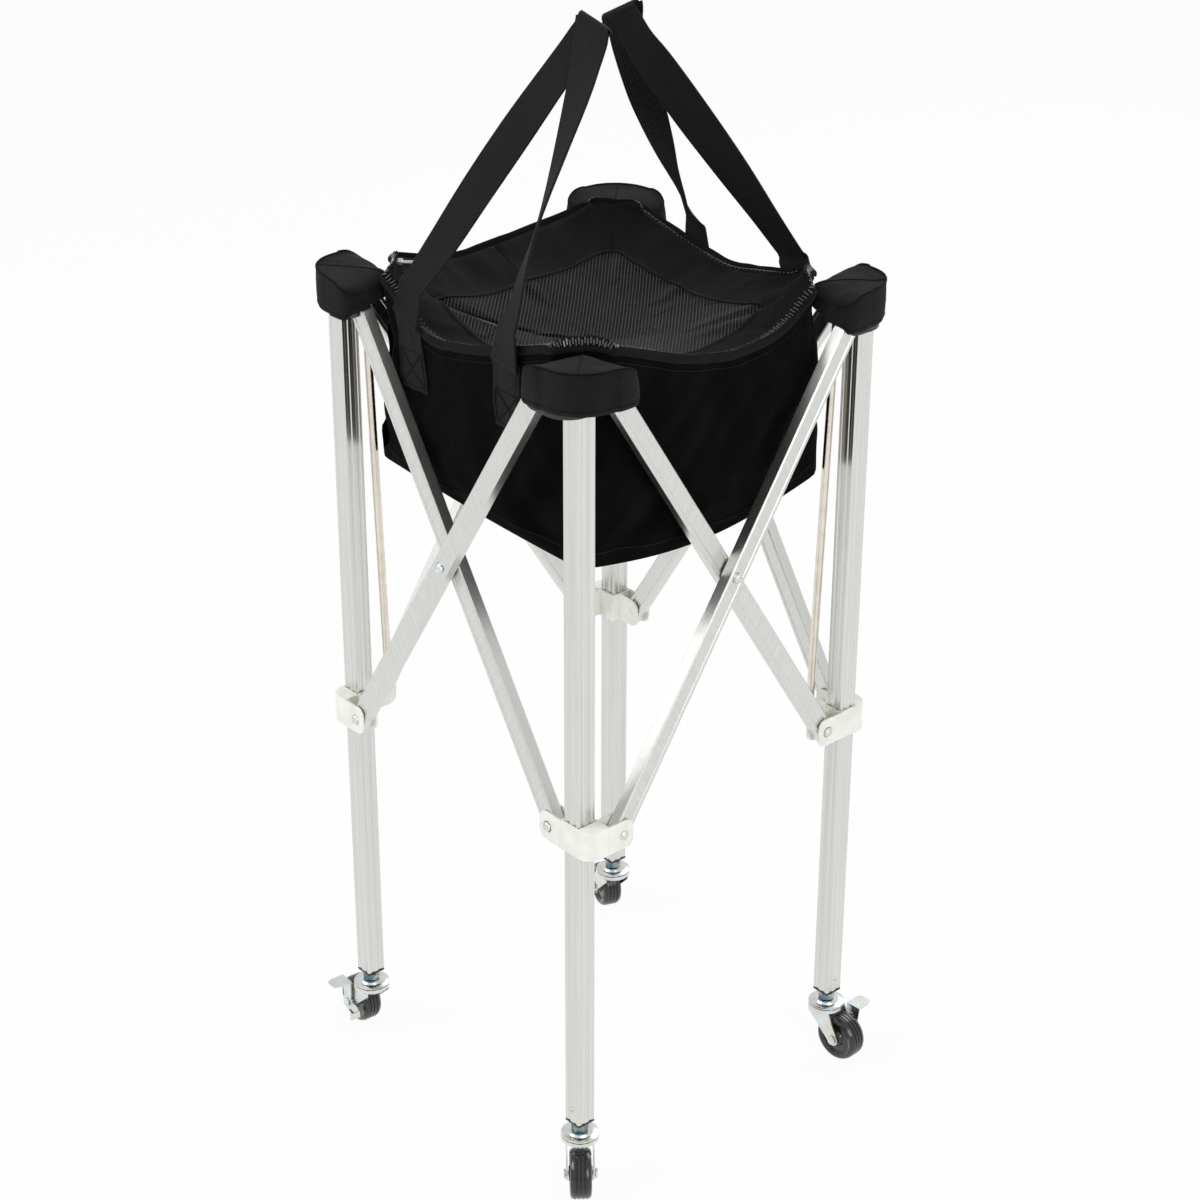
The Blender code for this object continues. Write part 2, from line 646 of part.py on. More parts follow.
def lid_net_mesh():
    """The lid's net window: one thin dished sheet with square gaps, fewer and larger than the real net's."""
    half = WINDOW_HALF - GAP
    corner = half - WINDOW_ROUND * (1 - math.sqrt(0.5))
    bm = bmesh.new()
    bmesh.ops.create_grid(bm, x_segments=NET_CELLS, y_segments=NET_CELLS, size=half)
    gaps = bm.faces[:]
    bmesh.ops.inset_individual(bm, faces=gaps, thickness=NET_STRAND / 2)
    bmesh.ops.delete(bm, geom=gaps, context="FACES")
    for vert in bm.verts:
        x, y = vert.co.xy
        if min(abs(x), abs(y)) > half - GAP:
            x, y = math.copysign(corner, x), math.copysign(corner, y)
        vert.co = (x, y, net_z(x, y))
    grown = bmesh.ops.extrude_face_region(bm, geom=bm.faces[:])["geom"]
    top = [item for item in grown if isinstance(item, bmesh.types.BMVert)]
    bmesh.ops.translate(bm, vec=(0, 0, LID_THICKNESS), verts=top)
    return mesh_of(bm, "lid_mesh")


def pocket_outline(inset):
    """Plan of a corner pocket at corner F, round the leg axis and inset from its outer faces.

    Each point also has a lift, 1 where the hem is raised over the bars and 0 on the outer faces.
    """
    out = POCKET_OUT - inset
    bag_line = HALF - BAG_HALF - 2 * GAP
    end = math.sqrt((POCKET_ARC - inset) ** 2 - bag_line**2)
    lean = math.atan2(bag_line, end)
    rounding = POCKET_ROUND - inset
    points = [(-end, -out, 1), (HEM_RUN - end, -out, 0)]
    points += [(x, y, 0) for x, y in arc((out - rounding, rounding - out), rounding, -QUARTER, 0, 5)]
    points += [(out, end - HEM_RUN, 0), (out, end, 1)]
    inner = arc((0, 0), POCKET_ARC - inset, QUARTER + lean, math.pi - lean, ARC_STEPS)
    return points + [(x, y, 1) for x, y in inner]


def pocket_mesh():
    """A padded corner cap, open underneath, that drops over the top bracket."""

    def ring(inset, z, hem_lift=0):
        return [(x, y, z + lift * hem_lift) for x, y, lift in pocket_outline(inset)]

    outside = [
        ring(0.012, POCKET_TOP),
        ring(0.003, POCKET_BAND_TOP + 0.0025),
        ring(0, POCKET_BAND_TOP - 0.002),
        ring(0, POCKET_LOW + 0.002, HEM_LIFT),
        ring(0.0006, POCKET_LOW, HEM_LIFT),
    ]
    inside = [ring(POCKET_WALL, POCKET_LOW, HEM_LIFT), ring(POCKET_WALL, CAVITY_TOP)]
    return mesh_of(loft(outside + inside), "corner_pocket")


def strap_mesh(name, foot_y, apex_y, rise, fall):
    """A webbing loop that leans inward: up one limb, folded over at the top and down the other."""
    apex_z = rise[-1][1]

    def centre(x, z, in_front=0.0):
        share = max(0, (z - LEAN_START_Z) / (apex_z - LEAN_START_Z))
        return Vector((x, foot_y + (apex_y - foot_y - in_front) * share, z))

    centres = [centre(x, z) for x, z in rise]
    for share in (0.25, 0.5, 0.75):
        turn = math.pi * share
        x = rise[-1][0] + (fall[0][0] - rise[-1][0]) * share
        over = centre(x, apex_z, STRAP_FOLD * (1 - math.cos(turn)))
        centres.append(over + Vector((0, 0, STRAP_FOLD * math.sin(turn))))
    centres += [centre(x, z, 2 * STRAP_FOLD) for x, z in fall]
    middle = (len(centres) - 1) / 2
    rings = []
    for i, point in enumerate(centres):
        along = (centres[min(i + 1, len(centres) - 1)] - centres[max(i - 1, 0)]).normalized()
        if abs(i - middle) <= 1:
            along = Vector((0, along.y, along.z)).normalized()
        across = Vector((1, 0, 0))
        across = (across - along * across.dot(along)).normalized() * (STRAP_WIDTH / 2)
        normal = along.cross(across).normalized() * (STRAP_THICKNESS / 2)
        low, high = point - normal, point + normal
        rings.append([low - across, low + across, high + across, high - across])
    return mesh_of(loft(rings), name)


def pull_mesh():
    """The zip's slider with its pull, where the zip ends beside corner L."""
    body = prism([square(PULL_BODY / 2)], 0, PULL_HEIGHT)
    half, reach = PULL_TAB[0] / 2, PULL_TAB[1]
    outline = [(-half, -reach), (half, -reach), (half, -half), (-half, -half)]
    low = (PULL_HEIGHT - PULL_TAB_THICKNESS) / 2
    tab = prism([outline], low, low + PULL_TAB_THICKNESS)
    return combined("zip_pull", body, [tab])


def build_corner(index, corner, meshes, finishes):
    """The leg at one corner with its bracket, slider, pocket, plug and caster."""
    turn = Matrix.Rotation(QUARTER * index, 2)
    spot = turn @ Vector((HALF, -HALF))
    post = empty("post_" + corner, location=(*spot, 0), rotation=(0, 0, QUARTER * index))
    solid("leg_" + corner, meshes["leg"], finishes["aluminium"], parent=post)
    top_pins = (0, 0, TOP_PIN_Z)
    slider_pins = (0, 0, SLIDER_PIN_Z)
    plastic = finishes["black_plastic"]
    solid("top_bracket_" + corner, meshes["bracket"], plastic, parent=post, location=top_pins)
    solid("slider_" + corner, meshes["slider"], finishes["white_nylon"], parent=post, location=slider_pins)
    solid("corner_pocket_" + corner, meshes["pocket"], finishes["black_cloth"], parent=post)
    solid("leg_plug_" + corner, meshes["plug"], plastic, parent=post)
    solid("caster_stem_" + corner, meshes["stem"], finishes["zinc"], parent=post)
    if corner in BRAKED:
        solid("stop_rod_" + corner, meshes["rod"], finishes["chrome"], parent=post)
    heading = math.radians(CASTER_TURN[corner])
    swivel = empty("swivel_" + corner, location=(*spot, 0), rotation=(0, 0, heading))
    solid("caster_fork_" + corner, meshes["fork"], finishes["zinc"], parent=swivel)
    solid("caster_wheel_" + corner, meshes["wheel"], finishes["black_rubber"], parent=swivel)
    if corner in BRAKED:
        solid("caster_axle_" + corner, meshes["long_axle"], finishes["zinc"], parent=swivel)
        solid("brake_lever_" + corner, meshes["lever"], finishes["zinc"], parent=swivel)
    else:
        solid("caster_axle_" + corner, meshes["axle"], finishes["zinc"], parent=swivel)


def build_side(index, side, meshes, finishes):
    """The two crossed bars of one side and the bolt through them."""
    frame = empty("side_" + side, rotation=(0, 0, QUARTER * index))
    run = LEG_SPACING / 2 - PIN_INSET
    slope = math.atan2(TOP_PIN_Z - SLIDER_PIN_Z, 2 * run)
    top = (-run, -HALF - INNER_BAR_OUT, TOP_PIN_Z)
    top_pin = empty("fold_" + side, parent=frame, location=top, rotation=(0, slope, 0))
    bar, metal, bolts = meshes["bar"], finishes["aluminium"], finishes["zinc"]
    solid("inner_bar_" + side, bar, metal, parent=top_pin, location=(bar_length() / 2, 0, 0))
    middle = (0, -HALF - OUTER_BAR_OUT, MID_PIN_Z)
    solid("outer_bar_" + side, bar, metal, parent=frame, location=middle, rotation=(0, -slope, 0))
    solid("cross_bolt_" + side, meshes["cross_bolt"], bolts, parent=frame, location=(0, -HALF, MID_PIN_Z))


def build_bag(finishes):
    solid("bag_body", bag_mesh(), finishes["black_cloth"])
    solid("zip_tape", zip_mesh(), finishes["zip_black"])
    hinge = empty("lid_hinge", location=(-BAG_HALF + LID_HINGE_INSET, 0, RIM_CORNER_Z - RIM_SAG["left"] / 2))
    back = tuple(-value for value in hinge.location)
    solid("lid_border", lid_border_mesh(), finishes["black_cloth"], parent=hinge, location=back)
    solid("lid_mesh", lid_net_mesh(), finishes["black_net"], parent=hinge, location=back)
    zip_line = (BAG_ARC + ZIP_INSET + ZIP_WIDTH / 2) * math.cos(QUARTER / 2) - HALF
    pull_at = (zip_line, zip_line, RIM_CORNER_Z + PULL_RISE)
    solid("zip_pull", pull_mesh(), finishes["zinc"], location=pull_at, rotation=(0, 0, 1.5 * QUARTER))
    foot = HALF + HANDLE_FOOT_OUT
    for name, foot_y, apex_y, rise, fall in (
        ("handle_front", -foot, FRONT_LEAN_Y, FRONT_RISE, FRONT_FALL),
        ("handle_rear", foot, REAR_LEAN_Y, REAR_RISE, REAR_FALL),
    ):
        strap = strap_mesh(name, foot_y, apex_y, rise, fall)
        hem = empty(name + "_hem", location=(0, foot_y, rise[0][1]))
        solid(name, strap, finishes["webbing"], parent=hem, location=(0, -foot_y, -rise[0][1]))


def main():
    clear_scene()
    finishes = {
        "aluminium": material("aluminium", (0.76, 0.76, 0.74), 0.35, 1.0),
        "white_nylon": material("white_nylon", (0.82, 0.81, 0.76), 0.45),
        "black_plastic": material("black_plastic", (0.02, 0.02, 0.02), 0.40),
        "black_rubber": material("black_rubber", (0.02, 0.018, 0.017), 0.35),
        "zinc": material("zinc", (0.66, 0.72, 0.72), 0.25, 1.0),
        "chrome": material("chrome", (0.72, 0.66, 0.58), 0.15, 1.0),
        "black_cloth": material("black_cloth", (0.022, 0.021, 0.023), 0.85),
        "black_net": material("black_net", (0.03, 0.03, 0.032), 0.80),
        "zip_black": material("zip_black", (0.03, 0.03, 0.03), 0.35),
        "webbing": material("webbing", (0.025, 0.025, 0.025), 0.75),
    }
    bar_edge = BAR_THICKNESS / 2 + GAP
    half_slider = SLIDER_HEIGHT / 2
    bracket_low = BRACKET_LOW - TOP_PIN_Z
    bracket_high = LEG_TOP + GAP + BRACKET_CAP - TOP_PIN_Z
    cross_bolt = bolt(INNER_BAR_OUT - bar_edge, OUTER_BAR_OUT + bar_edge, (0, 0))
    meshes = {
        "leg": leg_mesh(),
        "bar": bar_mesh(),
        "slider": pivot_block(
            "slider", INNER_BAR_OUT, OUTER_BAR_OUT, LUG_REACH, -half_slider, half_slider
        ),
        "bracket": pivot_block(
            "top_bracket",
            OUTER_BAR_OUT,
            INNER_BAR_OUT,
            BRACKET_LUG_REACH,
            bracket_low,
            bracket_high,
            closed_top=True,
        ),
        "cross_bolt": mesh_of(cross_bolt, "cross_bolt"),
        "pocket": pocket_mesh(),
        "plug": plug_mesh(),
        "stem": stem_mesh(),
        "rod": rod_mesh(),
        "fork": fork_mesh(),
        "wheel": wheel_mesh(),
        "axle": axle_mesh(PLATE_OUTER + GAP),
        "long_axle": axle_mesh(LEVER_LOW + LEVER_THICKNESS + GAP),
        "lever": lever_mesh(),
    }
    for index, corner in enumerate(CORNERS):
        build_corner(index, corner, meshes, finishes)
    for index, side in enumerate(SIDES):
        build_side(index, side, meshes, finishes)
    build_bag(finishes)


main()
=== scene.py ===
"""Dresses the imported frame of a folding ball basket: metal and plastic finishes, casters, bolts, the cloth
bag with its zip, lid and corner pockets, and the two webbing handles, on a plain pale stage."""

import json
import math

import bmesh
import bpy
from bpy.props import FloatProperty, FloatVectorProperty, IntProperty, PointerProperty
from mathutils import Matrix, Vector, noise
from mathutils.bvhtree import BVHTree
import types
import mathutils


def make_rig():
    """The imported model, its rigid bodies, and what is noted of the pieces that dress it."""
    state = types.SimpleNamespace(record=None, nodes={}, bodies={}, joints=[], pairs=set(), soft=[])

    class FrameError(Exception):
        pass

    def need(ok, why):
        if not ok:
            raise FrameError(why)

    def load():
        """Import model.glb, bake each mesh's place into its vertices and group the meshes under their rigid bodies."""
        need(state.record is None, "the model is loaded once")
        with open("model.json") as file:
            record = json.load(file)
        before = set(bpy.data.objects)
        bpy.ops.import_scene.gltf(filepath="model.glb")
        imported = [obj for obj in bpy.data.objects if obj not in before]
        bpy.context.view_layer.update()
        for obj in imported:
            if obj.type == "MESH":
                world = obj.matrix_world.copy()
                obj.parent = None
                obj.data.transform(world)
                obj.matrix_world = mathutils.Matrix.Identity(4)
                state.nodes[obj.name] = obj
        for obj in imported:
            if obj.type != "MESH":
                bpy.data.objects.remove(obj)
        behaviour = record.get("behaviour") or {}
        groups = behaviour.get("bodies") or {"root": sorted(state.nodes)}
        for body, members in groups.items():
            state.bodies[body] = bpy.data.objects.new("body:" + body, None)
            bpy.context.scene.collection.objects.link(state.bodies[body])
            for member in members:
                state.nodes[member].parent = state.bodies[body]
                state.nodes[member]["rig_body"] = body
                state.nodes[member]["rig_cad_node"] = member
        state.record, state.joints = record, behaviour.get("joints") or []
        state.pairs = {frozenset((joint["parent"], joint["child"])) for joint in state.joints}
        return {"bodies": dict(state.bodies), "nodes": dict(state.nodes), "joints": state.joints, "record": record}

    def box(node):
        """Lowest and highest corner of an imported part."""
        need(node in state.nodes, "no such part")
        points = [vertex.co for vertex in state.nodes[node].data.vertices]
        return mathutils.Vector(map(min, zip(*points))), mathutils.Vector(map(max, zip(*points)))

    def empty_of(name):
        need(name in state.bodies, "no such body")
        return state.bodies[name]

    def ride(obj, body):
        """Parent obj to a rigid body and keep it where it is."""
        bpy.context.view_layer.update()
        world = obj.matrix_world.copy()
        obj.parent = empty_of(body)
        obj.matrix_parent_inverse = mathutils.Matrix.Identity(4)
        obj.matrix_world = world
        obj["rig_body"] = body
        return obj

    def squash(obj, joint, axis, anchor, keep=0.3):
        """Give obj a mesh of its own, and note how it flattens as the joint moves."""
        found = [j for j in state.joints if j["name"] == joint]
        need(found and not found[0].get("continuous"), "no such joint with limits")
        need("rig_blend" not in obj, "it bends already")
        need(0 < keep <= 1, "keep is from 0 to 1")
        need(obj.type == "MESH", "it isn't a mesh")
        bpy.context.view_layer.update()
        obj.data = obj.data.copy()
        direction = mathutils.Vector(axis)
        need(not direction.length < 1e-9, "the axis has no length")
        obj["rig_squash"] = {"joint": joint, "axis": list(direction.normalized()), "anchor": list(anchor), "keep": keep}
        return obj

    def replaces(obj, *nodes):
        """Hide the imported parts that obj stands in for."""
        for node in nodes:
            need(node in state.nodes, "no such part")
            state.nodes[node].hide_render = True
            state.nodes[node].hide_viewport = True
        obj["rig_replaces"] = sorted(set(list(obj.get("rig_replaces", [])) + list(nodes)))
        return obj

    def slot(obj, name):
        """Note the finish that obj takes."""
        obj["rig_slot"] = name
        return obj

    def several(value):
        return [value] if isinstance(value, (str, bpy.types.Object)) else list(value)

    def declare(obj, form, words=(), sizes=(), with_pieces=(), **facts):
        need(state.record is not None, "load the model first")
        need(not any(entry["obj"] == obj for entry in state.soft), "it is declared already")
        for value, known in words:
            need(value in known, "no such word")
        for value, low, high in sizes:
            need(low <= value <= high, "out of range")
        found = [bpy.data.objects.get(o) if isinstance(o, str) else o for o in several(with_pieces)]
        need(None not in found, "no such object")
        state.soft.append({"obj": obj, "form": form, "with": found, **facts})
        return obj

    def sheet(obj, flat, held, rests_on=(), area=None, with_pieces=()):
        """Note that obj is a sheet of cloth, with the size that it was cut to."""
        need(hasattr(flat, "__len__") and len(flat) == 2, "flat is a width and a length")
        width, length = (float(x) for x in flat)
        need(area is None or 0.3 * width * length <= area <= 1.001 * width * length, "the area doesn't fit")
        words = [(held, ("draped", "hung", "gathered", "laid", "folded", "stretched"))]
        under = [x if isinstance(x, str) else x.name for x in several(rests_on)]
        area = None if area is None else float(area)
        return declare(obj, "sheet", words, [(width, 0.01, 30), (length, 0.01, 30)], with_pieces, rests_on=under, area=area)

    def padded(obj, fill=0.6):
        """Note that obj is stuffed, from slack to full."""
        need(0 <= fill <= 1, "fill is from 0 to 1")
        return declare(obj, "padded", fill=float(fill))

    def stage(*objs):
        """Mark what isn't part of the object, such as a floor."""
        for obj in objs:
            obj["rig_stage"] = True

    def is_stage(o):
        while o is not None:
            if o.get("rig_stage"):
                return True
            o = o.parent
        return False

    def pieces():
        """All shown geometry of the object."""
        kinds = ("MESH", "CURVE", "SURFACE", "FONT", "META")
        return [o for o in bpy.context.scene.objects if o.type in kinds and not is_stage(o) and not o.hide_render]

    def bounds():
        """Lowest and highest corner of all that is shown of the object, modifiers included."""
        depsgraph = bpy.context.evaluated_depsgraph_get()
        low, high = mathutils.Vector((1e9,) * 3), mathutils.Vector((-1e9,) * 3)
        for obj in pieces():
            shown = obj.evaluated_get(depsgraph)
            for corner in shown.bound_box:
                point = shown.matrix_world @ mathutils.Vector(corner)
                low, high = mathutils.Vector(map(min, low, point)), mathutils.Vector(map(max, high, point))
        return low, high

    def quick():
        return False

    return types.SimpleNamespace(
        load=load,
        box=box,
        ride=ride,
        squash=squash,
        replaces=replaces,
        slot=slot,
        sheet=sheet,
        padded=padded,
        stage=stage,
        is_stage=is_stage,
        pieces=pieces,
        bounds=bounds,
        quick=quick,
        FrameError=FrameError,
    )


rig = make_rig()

bl_info = {
    "name": "Ball basket",
    "version": (1, 0, 0),
    "blender": (4, 5, 0),
    "location": "3D View > Sidebar > Basket",
    "description": "Dresses the frame of a folding ball basket with its cloth, metal and plastic",
    "category": "Object",
}

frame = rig.load()
CAD_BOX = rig.bounds()

QUARTER = math.pi / 2
CORNERS = ["f", "r", "b", "l"]
SIDES = ["front", "right", "back", "left"]

# Frame: the legs read from the imported nodes, and the pins and bars given as numbers
LEG_LOW, LEG_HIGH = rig.box("leg_f")
HALF = (LEG_LOW[0] + LEG_HIGH[0]) / 2
LEG_HALF_WIDTH = (LEG_HIGH[0] - LEG_LOW[0]) / 2
TOP_PIN_Z = 0.830
SLIDER_PIN_Z = 0.3965
PIN_ALONG = HALF - 0.0304
INNER_BAR_OUT = 0.004
OUTER_BAR_OUT = 0.018
BAR_HALF_THICKNESS = 0.0065
CHEEK_OUT = 0.0027
BAR_SLOPE = math.atan2(TOP_PIN_Z - SLIDER_PIN_Z, 2 * PIN_ALONG)

# What the cloth of each side rides on, and the leg it is drawn to when the frame folds
SIDE_BODY = {"front": "leg_l", "right": "leg_f", "back": "leg_b", "left": "leg_l"}
FOLD_AXIS = {"front": (1, 0, 0), "right": (0, 1, 0), "back": (1, 0, 0), "left": (0, 1, 0)}
FOLD_ANCHOR = (-HALF, -HALF, 0.0)
FOLDED_SHARE = 0.515

# Bag and its rim
BAG_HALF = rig.box("bag_body")[1][0]
FLOOR_HALF = BAG_HALF - 0.009
FLOOR_ROUND = 0.017
FLOOR_MIDDLE_Z = 0.645
FLOOR_CORNER_Z = {"f": 0.653, "r": 0.664, "b": 0.664, "l": 0.668}
FLOOR_SAG = {"front": 0.003, "right": 0.020, "back": 0.012, "left": 0.008}
POCKET_ARC = 0.0465
BAG_ARC = POCKET_ARC + 0.0006
CLOTH = 0.0012

# Height of the rim at shares of each side's straight part, from the left-hand corner seen from outside
RIM_SHAPE = {
    "front": [
        (-1, 0.855), (-0.81, 0.838), (-0.7, 0.824), (-0.4, 0.810), (0.07, 0.820), (0.41, 0.831), (1, 0.855),
    ],
    "right": [
        (-1, 0.856), (-0.74, 0.844), (-0.3, 0.824), (0.19, 0.813), (0.62, 0.819), (0.9, 0.838), (1, 0.856),
    ],
    "back": [
        (-1, 0.855), (-0.92, 0.845), (-0.64, 0.838), (-0.09, 0.826), (0.38, 0.836), (0.8, 0.847), (1, 0.855),
    ],
    "left": [(-1, 0.856), (-0.84, 0.850), (-0.23, 0.842), (0.38, 0.836), (0.69, 0.845), (1, 0.856)],
}  # fmt: skip

# Zip and lid
ZIP_MIDDLE = 0.0046
ZIP_LIE = math.radians(6)
ZIP_STAND = math.radians(62)
TAPE_WIDTH = 0.0098
LID_CENTRE_Z = 0.795
LID_RIM_Z = 0.835
WINDOW_HALF = 0.110
WINDOW_ROUND = 0.008
BORDER_SHARE = 0.30
LID_SEWN = 0.0088
LID_HINGED = 0.0030

# Pockets
POCKET_OUT = 0.0312
POCKET_ROUND = 0.051
POCKET_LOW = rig.box("corner_pocket_f")[0][2]
HEM_LIFT = 0.0108

# Handles
STRAP_WIDTH = 0.038
STRAP_FOLD = 0.0035
LEAN_START_Z = 0.858

# Surfaces of the settled cloth, which later pieces are laid on
SETTLED = {}


class Wire:
    """A socket of a node tree: an operator on it adds the Math node that works the sum out."""

    def __init__(self, nodes, socket):
        self.nodes = nodes
        self.socket = socket

    def math(self, operation, *values):
        return self.nodes.node("ShaderNodeMath", {"operation": operation}, dict(enumerate(values)))

    def __add__(self, other):
        return self.math("ADD", self, other)

    def __sub__(self, other):
        return self.math("SUBTRACT", self, other)

    def __rsub__(self, other):
        return self.math("SUBTRACT", other, self)

    def __mul__(self, other):
        return self.math("MULTIPLY", self, other)

    def __truediv__(self, other):
        return self.math("DIVIDE", self, other)

    def __pow__(self, other):
        return self.math("POWER", self, other)

    __radd__ = __add__
    __rmul__ = __mul__

    def sine(self):
        return self.math("SINE", self)

    def size(self):
        return self.math("ABSOLUTE", self)

    def most(self, other):
        return self.math("MAXIMUM", self, other)

    def stepped(self, low, high):
        """0 below low and 1 above high, with a smooth rise between."""
        settings = {"interpolation_type": "SMOOTHSTEP"}
        return self.nodes.node("ShaderNodeMapRange", settings, {"Value": self, 1: low, 2: high})


class Nodes:
    """A node tree, with one method that adds any node of it."""

    def __init__(self, owner):
        owner.use_nodes = True
        self.tree = owner.node_tree

    def node(self, kind, settings=None, values=None, output=0):
        made = self.tree.nodes.new(kind)
        for name, value in (settings or {}).items():
            setattr(made, name, value)
        for socket, value in (values or {}).items():
            self.feed(made.inputs[socket], value)
        return Wire(self, made.outputs[output])

    def feed(self, socket, value):
        if isinstance(value, Wire):
            self.tree.links.new(value.socket, socket)
        else:
            socket.default_value = value

    def blend_for_eye(self, share, plain, seen, output):
        """Shows plain to the light, and seen to the camera, to mirrors and through glass."""
        rays = self.node("ShaderNodeLightPath", output="Is Camera Ray")
        for kind in ("Is Glossy Ray", "Is Transmission Ray"):
            rays = rays.most(Wire(self, self.tree.nodes["Light Path"].outputs[kind]))
        values = {0: rays * share, 1: plain, 2: seen}
        mix = self.node("ShaderNodeMixShader", values=values, output="Shader")
        self.feed(self.tree.nodes[output].inputs["Surface"], mix)


class Finish(Nodes):
    """A new material and its shader."""

    def __init__(self, name, **constants):
        self.material = bpy.data.materials.new(name)
        super().__init__(self.material)
        self.shader = self.tree.nodes["Principled BSDF"]
        for socket, value in constants.items():
            self.shader.inputs[socket.replace("_", " ")].default_value = value

    def set(self, **values):
        for name, value in values.items():
            self.feed(self.shader.inputs[name.replace("_", " ")], value)
        return self.material

    def place(self, scale=(1, 1, 1), turn=(0, 0, 0)):
        """Object coordinates, turned first and then scaled."""
        spot = self.node("ShaderNodeTexCoord", output="Object")
        turned = self.node("ShaderNodeMapping", values={"Vector": spot, "Rotation": turn}, output="Vector")
        return self.node("ShaderNodeMapping", values={"Vector": turned, "Scale": scale}, output="Vector")

    def sheet_place(self):
        """The piece's own map in metres, as across and along."""
        spot = self.node("ShaderNodeTexCoord", output="UV")
        parts = self.node("ShaderNodeSeparateXYZ", values={"Vector": spot})
        return parts, Wire(self, parts.socket.node.outputs[1])

    def noise(self, vector, scale, detail=3.0, roughness=0.5):
        values = {"Vector": vector, "Scale": scale, "Detail": detail, "Roughness": roughness}
        return self.node("ShaderNodeTexNoise", values=values, output="Fac")

    def mixed(self, factor, first, second):
        values = {0: factor, 6: (*first, 1) if isinstance(first, tuple) else first}
        values[7] = (*second, 1) if isinstance(second, tuple) else second
        return self.node("ShaderNodeMix", {"data_type": "RGBA"}, values, 2)

    def bump(self, height, strength, distance):
        values = {"Height": height, "Strength": strength, "Distance": distance}
        return self.node("ShaderNodeBump", values=values, output="Normal")


def shade(colour, factor):
    return tuple(min(1.0, part * factor) for part in colour)


def extruded_metal(name, colour, turn=(0, 0, 0)):
    """Anodised extrusion: fine die lines along its length and faint handling marks."""
    finish = Finish(name, Metallic=1.0)
    lines = finish.noise(finish.place((1400, 1400, 5), turn), 1.0, 2.0)
    marks = finish.noise(finish.place((60, 60, 18), turn), 1.0, 5.0, 0.65)
    tone = finish.mixed(lines.stepped(0.3, 0.75), shade(colour, 0.90), shade(colour, 1.06))
    worn = finish.mixed(marks.stepped(0.60, 0.85) * 0.5, tone, shade(colour, 0.80))
    rough = 0.33 + (lines - 0.5) * 0.16 + marks.stepped(0.55, 0.9) * 0.12
    return finish.set(Base_Color=worn, Roughness=rough, Normal=finish.bump(lines, 0.10, 0.0002))


def plated_metal(name, colour, roughness=0.20):
    """Bright zinc plate with its faint blue and yellow drift."""
    finish = Finish(name, Metallic=1.0)
    drift = finish.noise(finish.place((70, 70, 70)), 1.0, 3.0)
    grain = finish.noise(finish.place((900, 900, 900)), 1.0, 4.0)
    tint = finish.mixed(drift.stepped(0.35, 0.7), shade(colour, 1.08), (0.70, 0.66, 0.56))
    dull = finish.mixed(grain.stepped(0.55, 0.8) * 0.4, tint, shade(colour, 0.62))
    rough = roughness + grain * 0.14
    return finish.set(Base_Color=dull, Roughness=rough, Normal=finish.bump(grain, 0.08, 0.0002))


def moulded(name, colour, roughness, **constants):
    """Moulded plastic: a fine grain, slow flow marks and a slightly uneven gloss."""
    finish = Finish(name, **constants)
    slow = finish.noise(finish.place((45, 45, 45)), 1.0, 3.0)
    fine = finish.noise(finish.place((1600, 1600, 1600)), 1.0, 2.0)
    tone = finish.mixed(slow.stepped(0.3, 0.7), shade(colour, 0.94), shade(colour, 1.06))
    rough = roughness + (slow - 0.5) * 0.2 + (fine - 0.5) * 0.12
    return finish.set(Base_Color=tone, Roughness=rough, Normal=finish.bump(fine, 0.12, 0.0002))


def woven(name, colour, thread=0.0007, gloss=1.0):
    """Coated plain-weave cloth: crossing threads, rubbed high spots and a little lint."""
    finish = Finish(name, Sheen_Weight=0.03 * gloss, Sheen_Roughness=0.5, Specular_IOR_Level=0.10 * gloss)
    across, along = finish.sheet_place()
    pitch = math.pi / thread
    warp = (across * pitch).sine()
    weft = (along * pitch).sine()
    weave = (warp * weft).size()
    cloudy = finish.noise(finish.place((26, 26, 26)), 1.0, 6.0, 0.62)
    lint = finish.noise(finish.place((620, 620, 620)), 1.0, 3.0, 0.7)
    base = finish.mixed(cloudy.stepped(0.25, 0.78), shade(colour, 0.66), shade(colour, 1.42))
    threads = finish.mixed(weave * 0.55, base, shade(colour, 0.45))
    specks = finish.mixed(lint.stepped(0.66, 0.80) * 0.5, threads, shade(colour, 2.2))
    height = weave * 0.7 + cloudy * 0.8 + lint * 0.4
    rough = 0.82 + (cloudy - 0.5) * 0.16
    return finish.set(Base_Color=specks, Roughness=rough, Normal=finish.bump(height, 0.55, 0.0006))


def ribbed_webbing(name, colour):
    """Polypropylene webbing: a herringbone of fine yarns over the ribs that the mesh carries."""
    finish = Finish(name, Sheen_Weight=0.03, Sheen_Roughness=0.5, Specular_IOR_Level=0.16)
    across, along = finish.sheet_place()
    slant = (across * 5200 + along * 3600).sine() * (across * 5200 - along * 3600).sine()
    ribs = (across * (2 * math.pi * 13 / STRAP_WIDTH)).sine()
    fuzz = finish.noise(finish.place((520, 520, 520)), 1.0, 4.0, 0.7)
    worn = finish.noise(finish.place((18, 18, 18)), 1.0, 4.0)
    # The ribs are painted lighter on their crests and darker in their grooves: a painted highlight and painted shade
    # that follow the ribs.
    base = finish.mixed(ribs.stepped(-0.7, 0.8), shade(colour, 0.55), shade(colour, 1.5))
    yarn = finish.mixed(slant.size() * 0.5, base, shade(colour, 0.5))
    dusty = finish.mixed(fuzz.stepped(0.56, 0.8) * worn.stepped(0.35, 0.7), yarn, shade(colour, 2.0))
    height = ribs * 0.6 + slant * 0.3 + fuzz * 0.5
    return finish.set(Base_Color=dusty, Roughness=0.62 + fuzz * 0.2, Normal=finish.bump(height, 0.5, 0.0005))


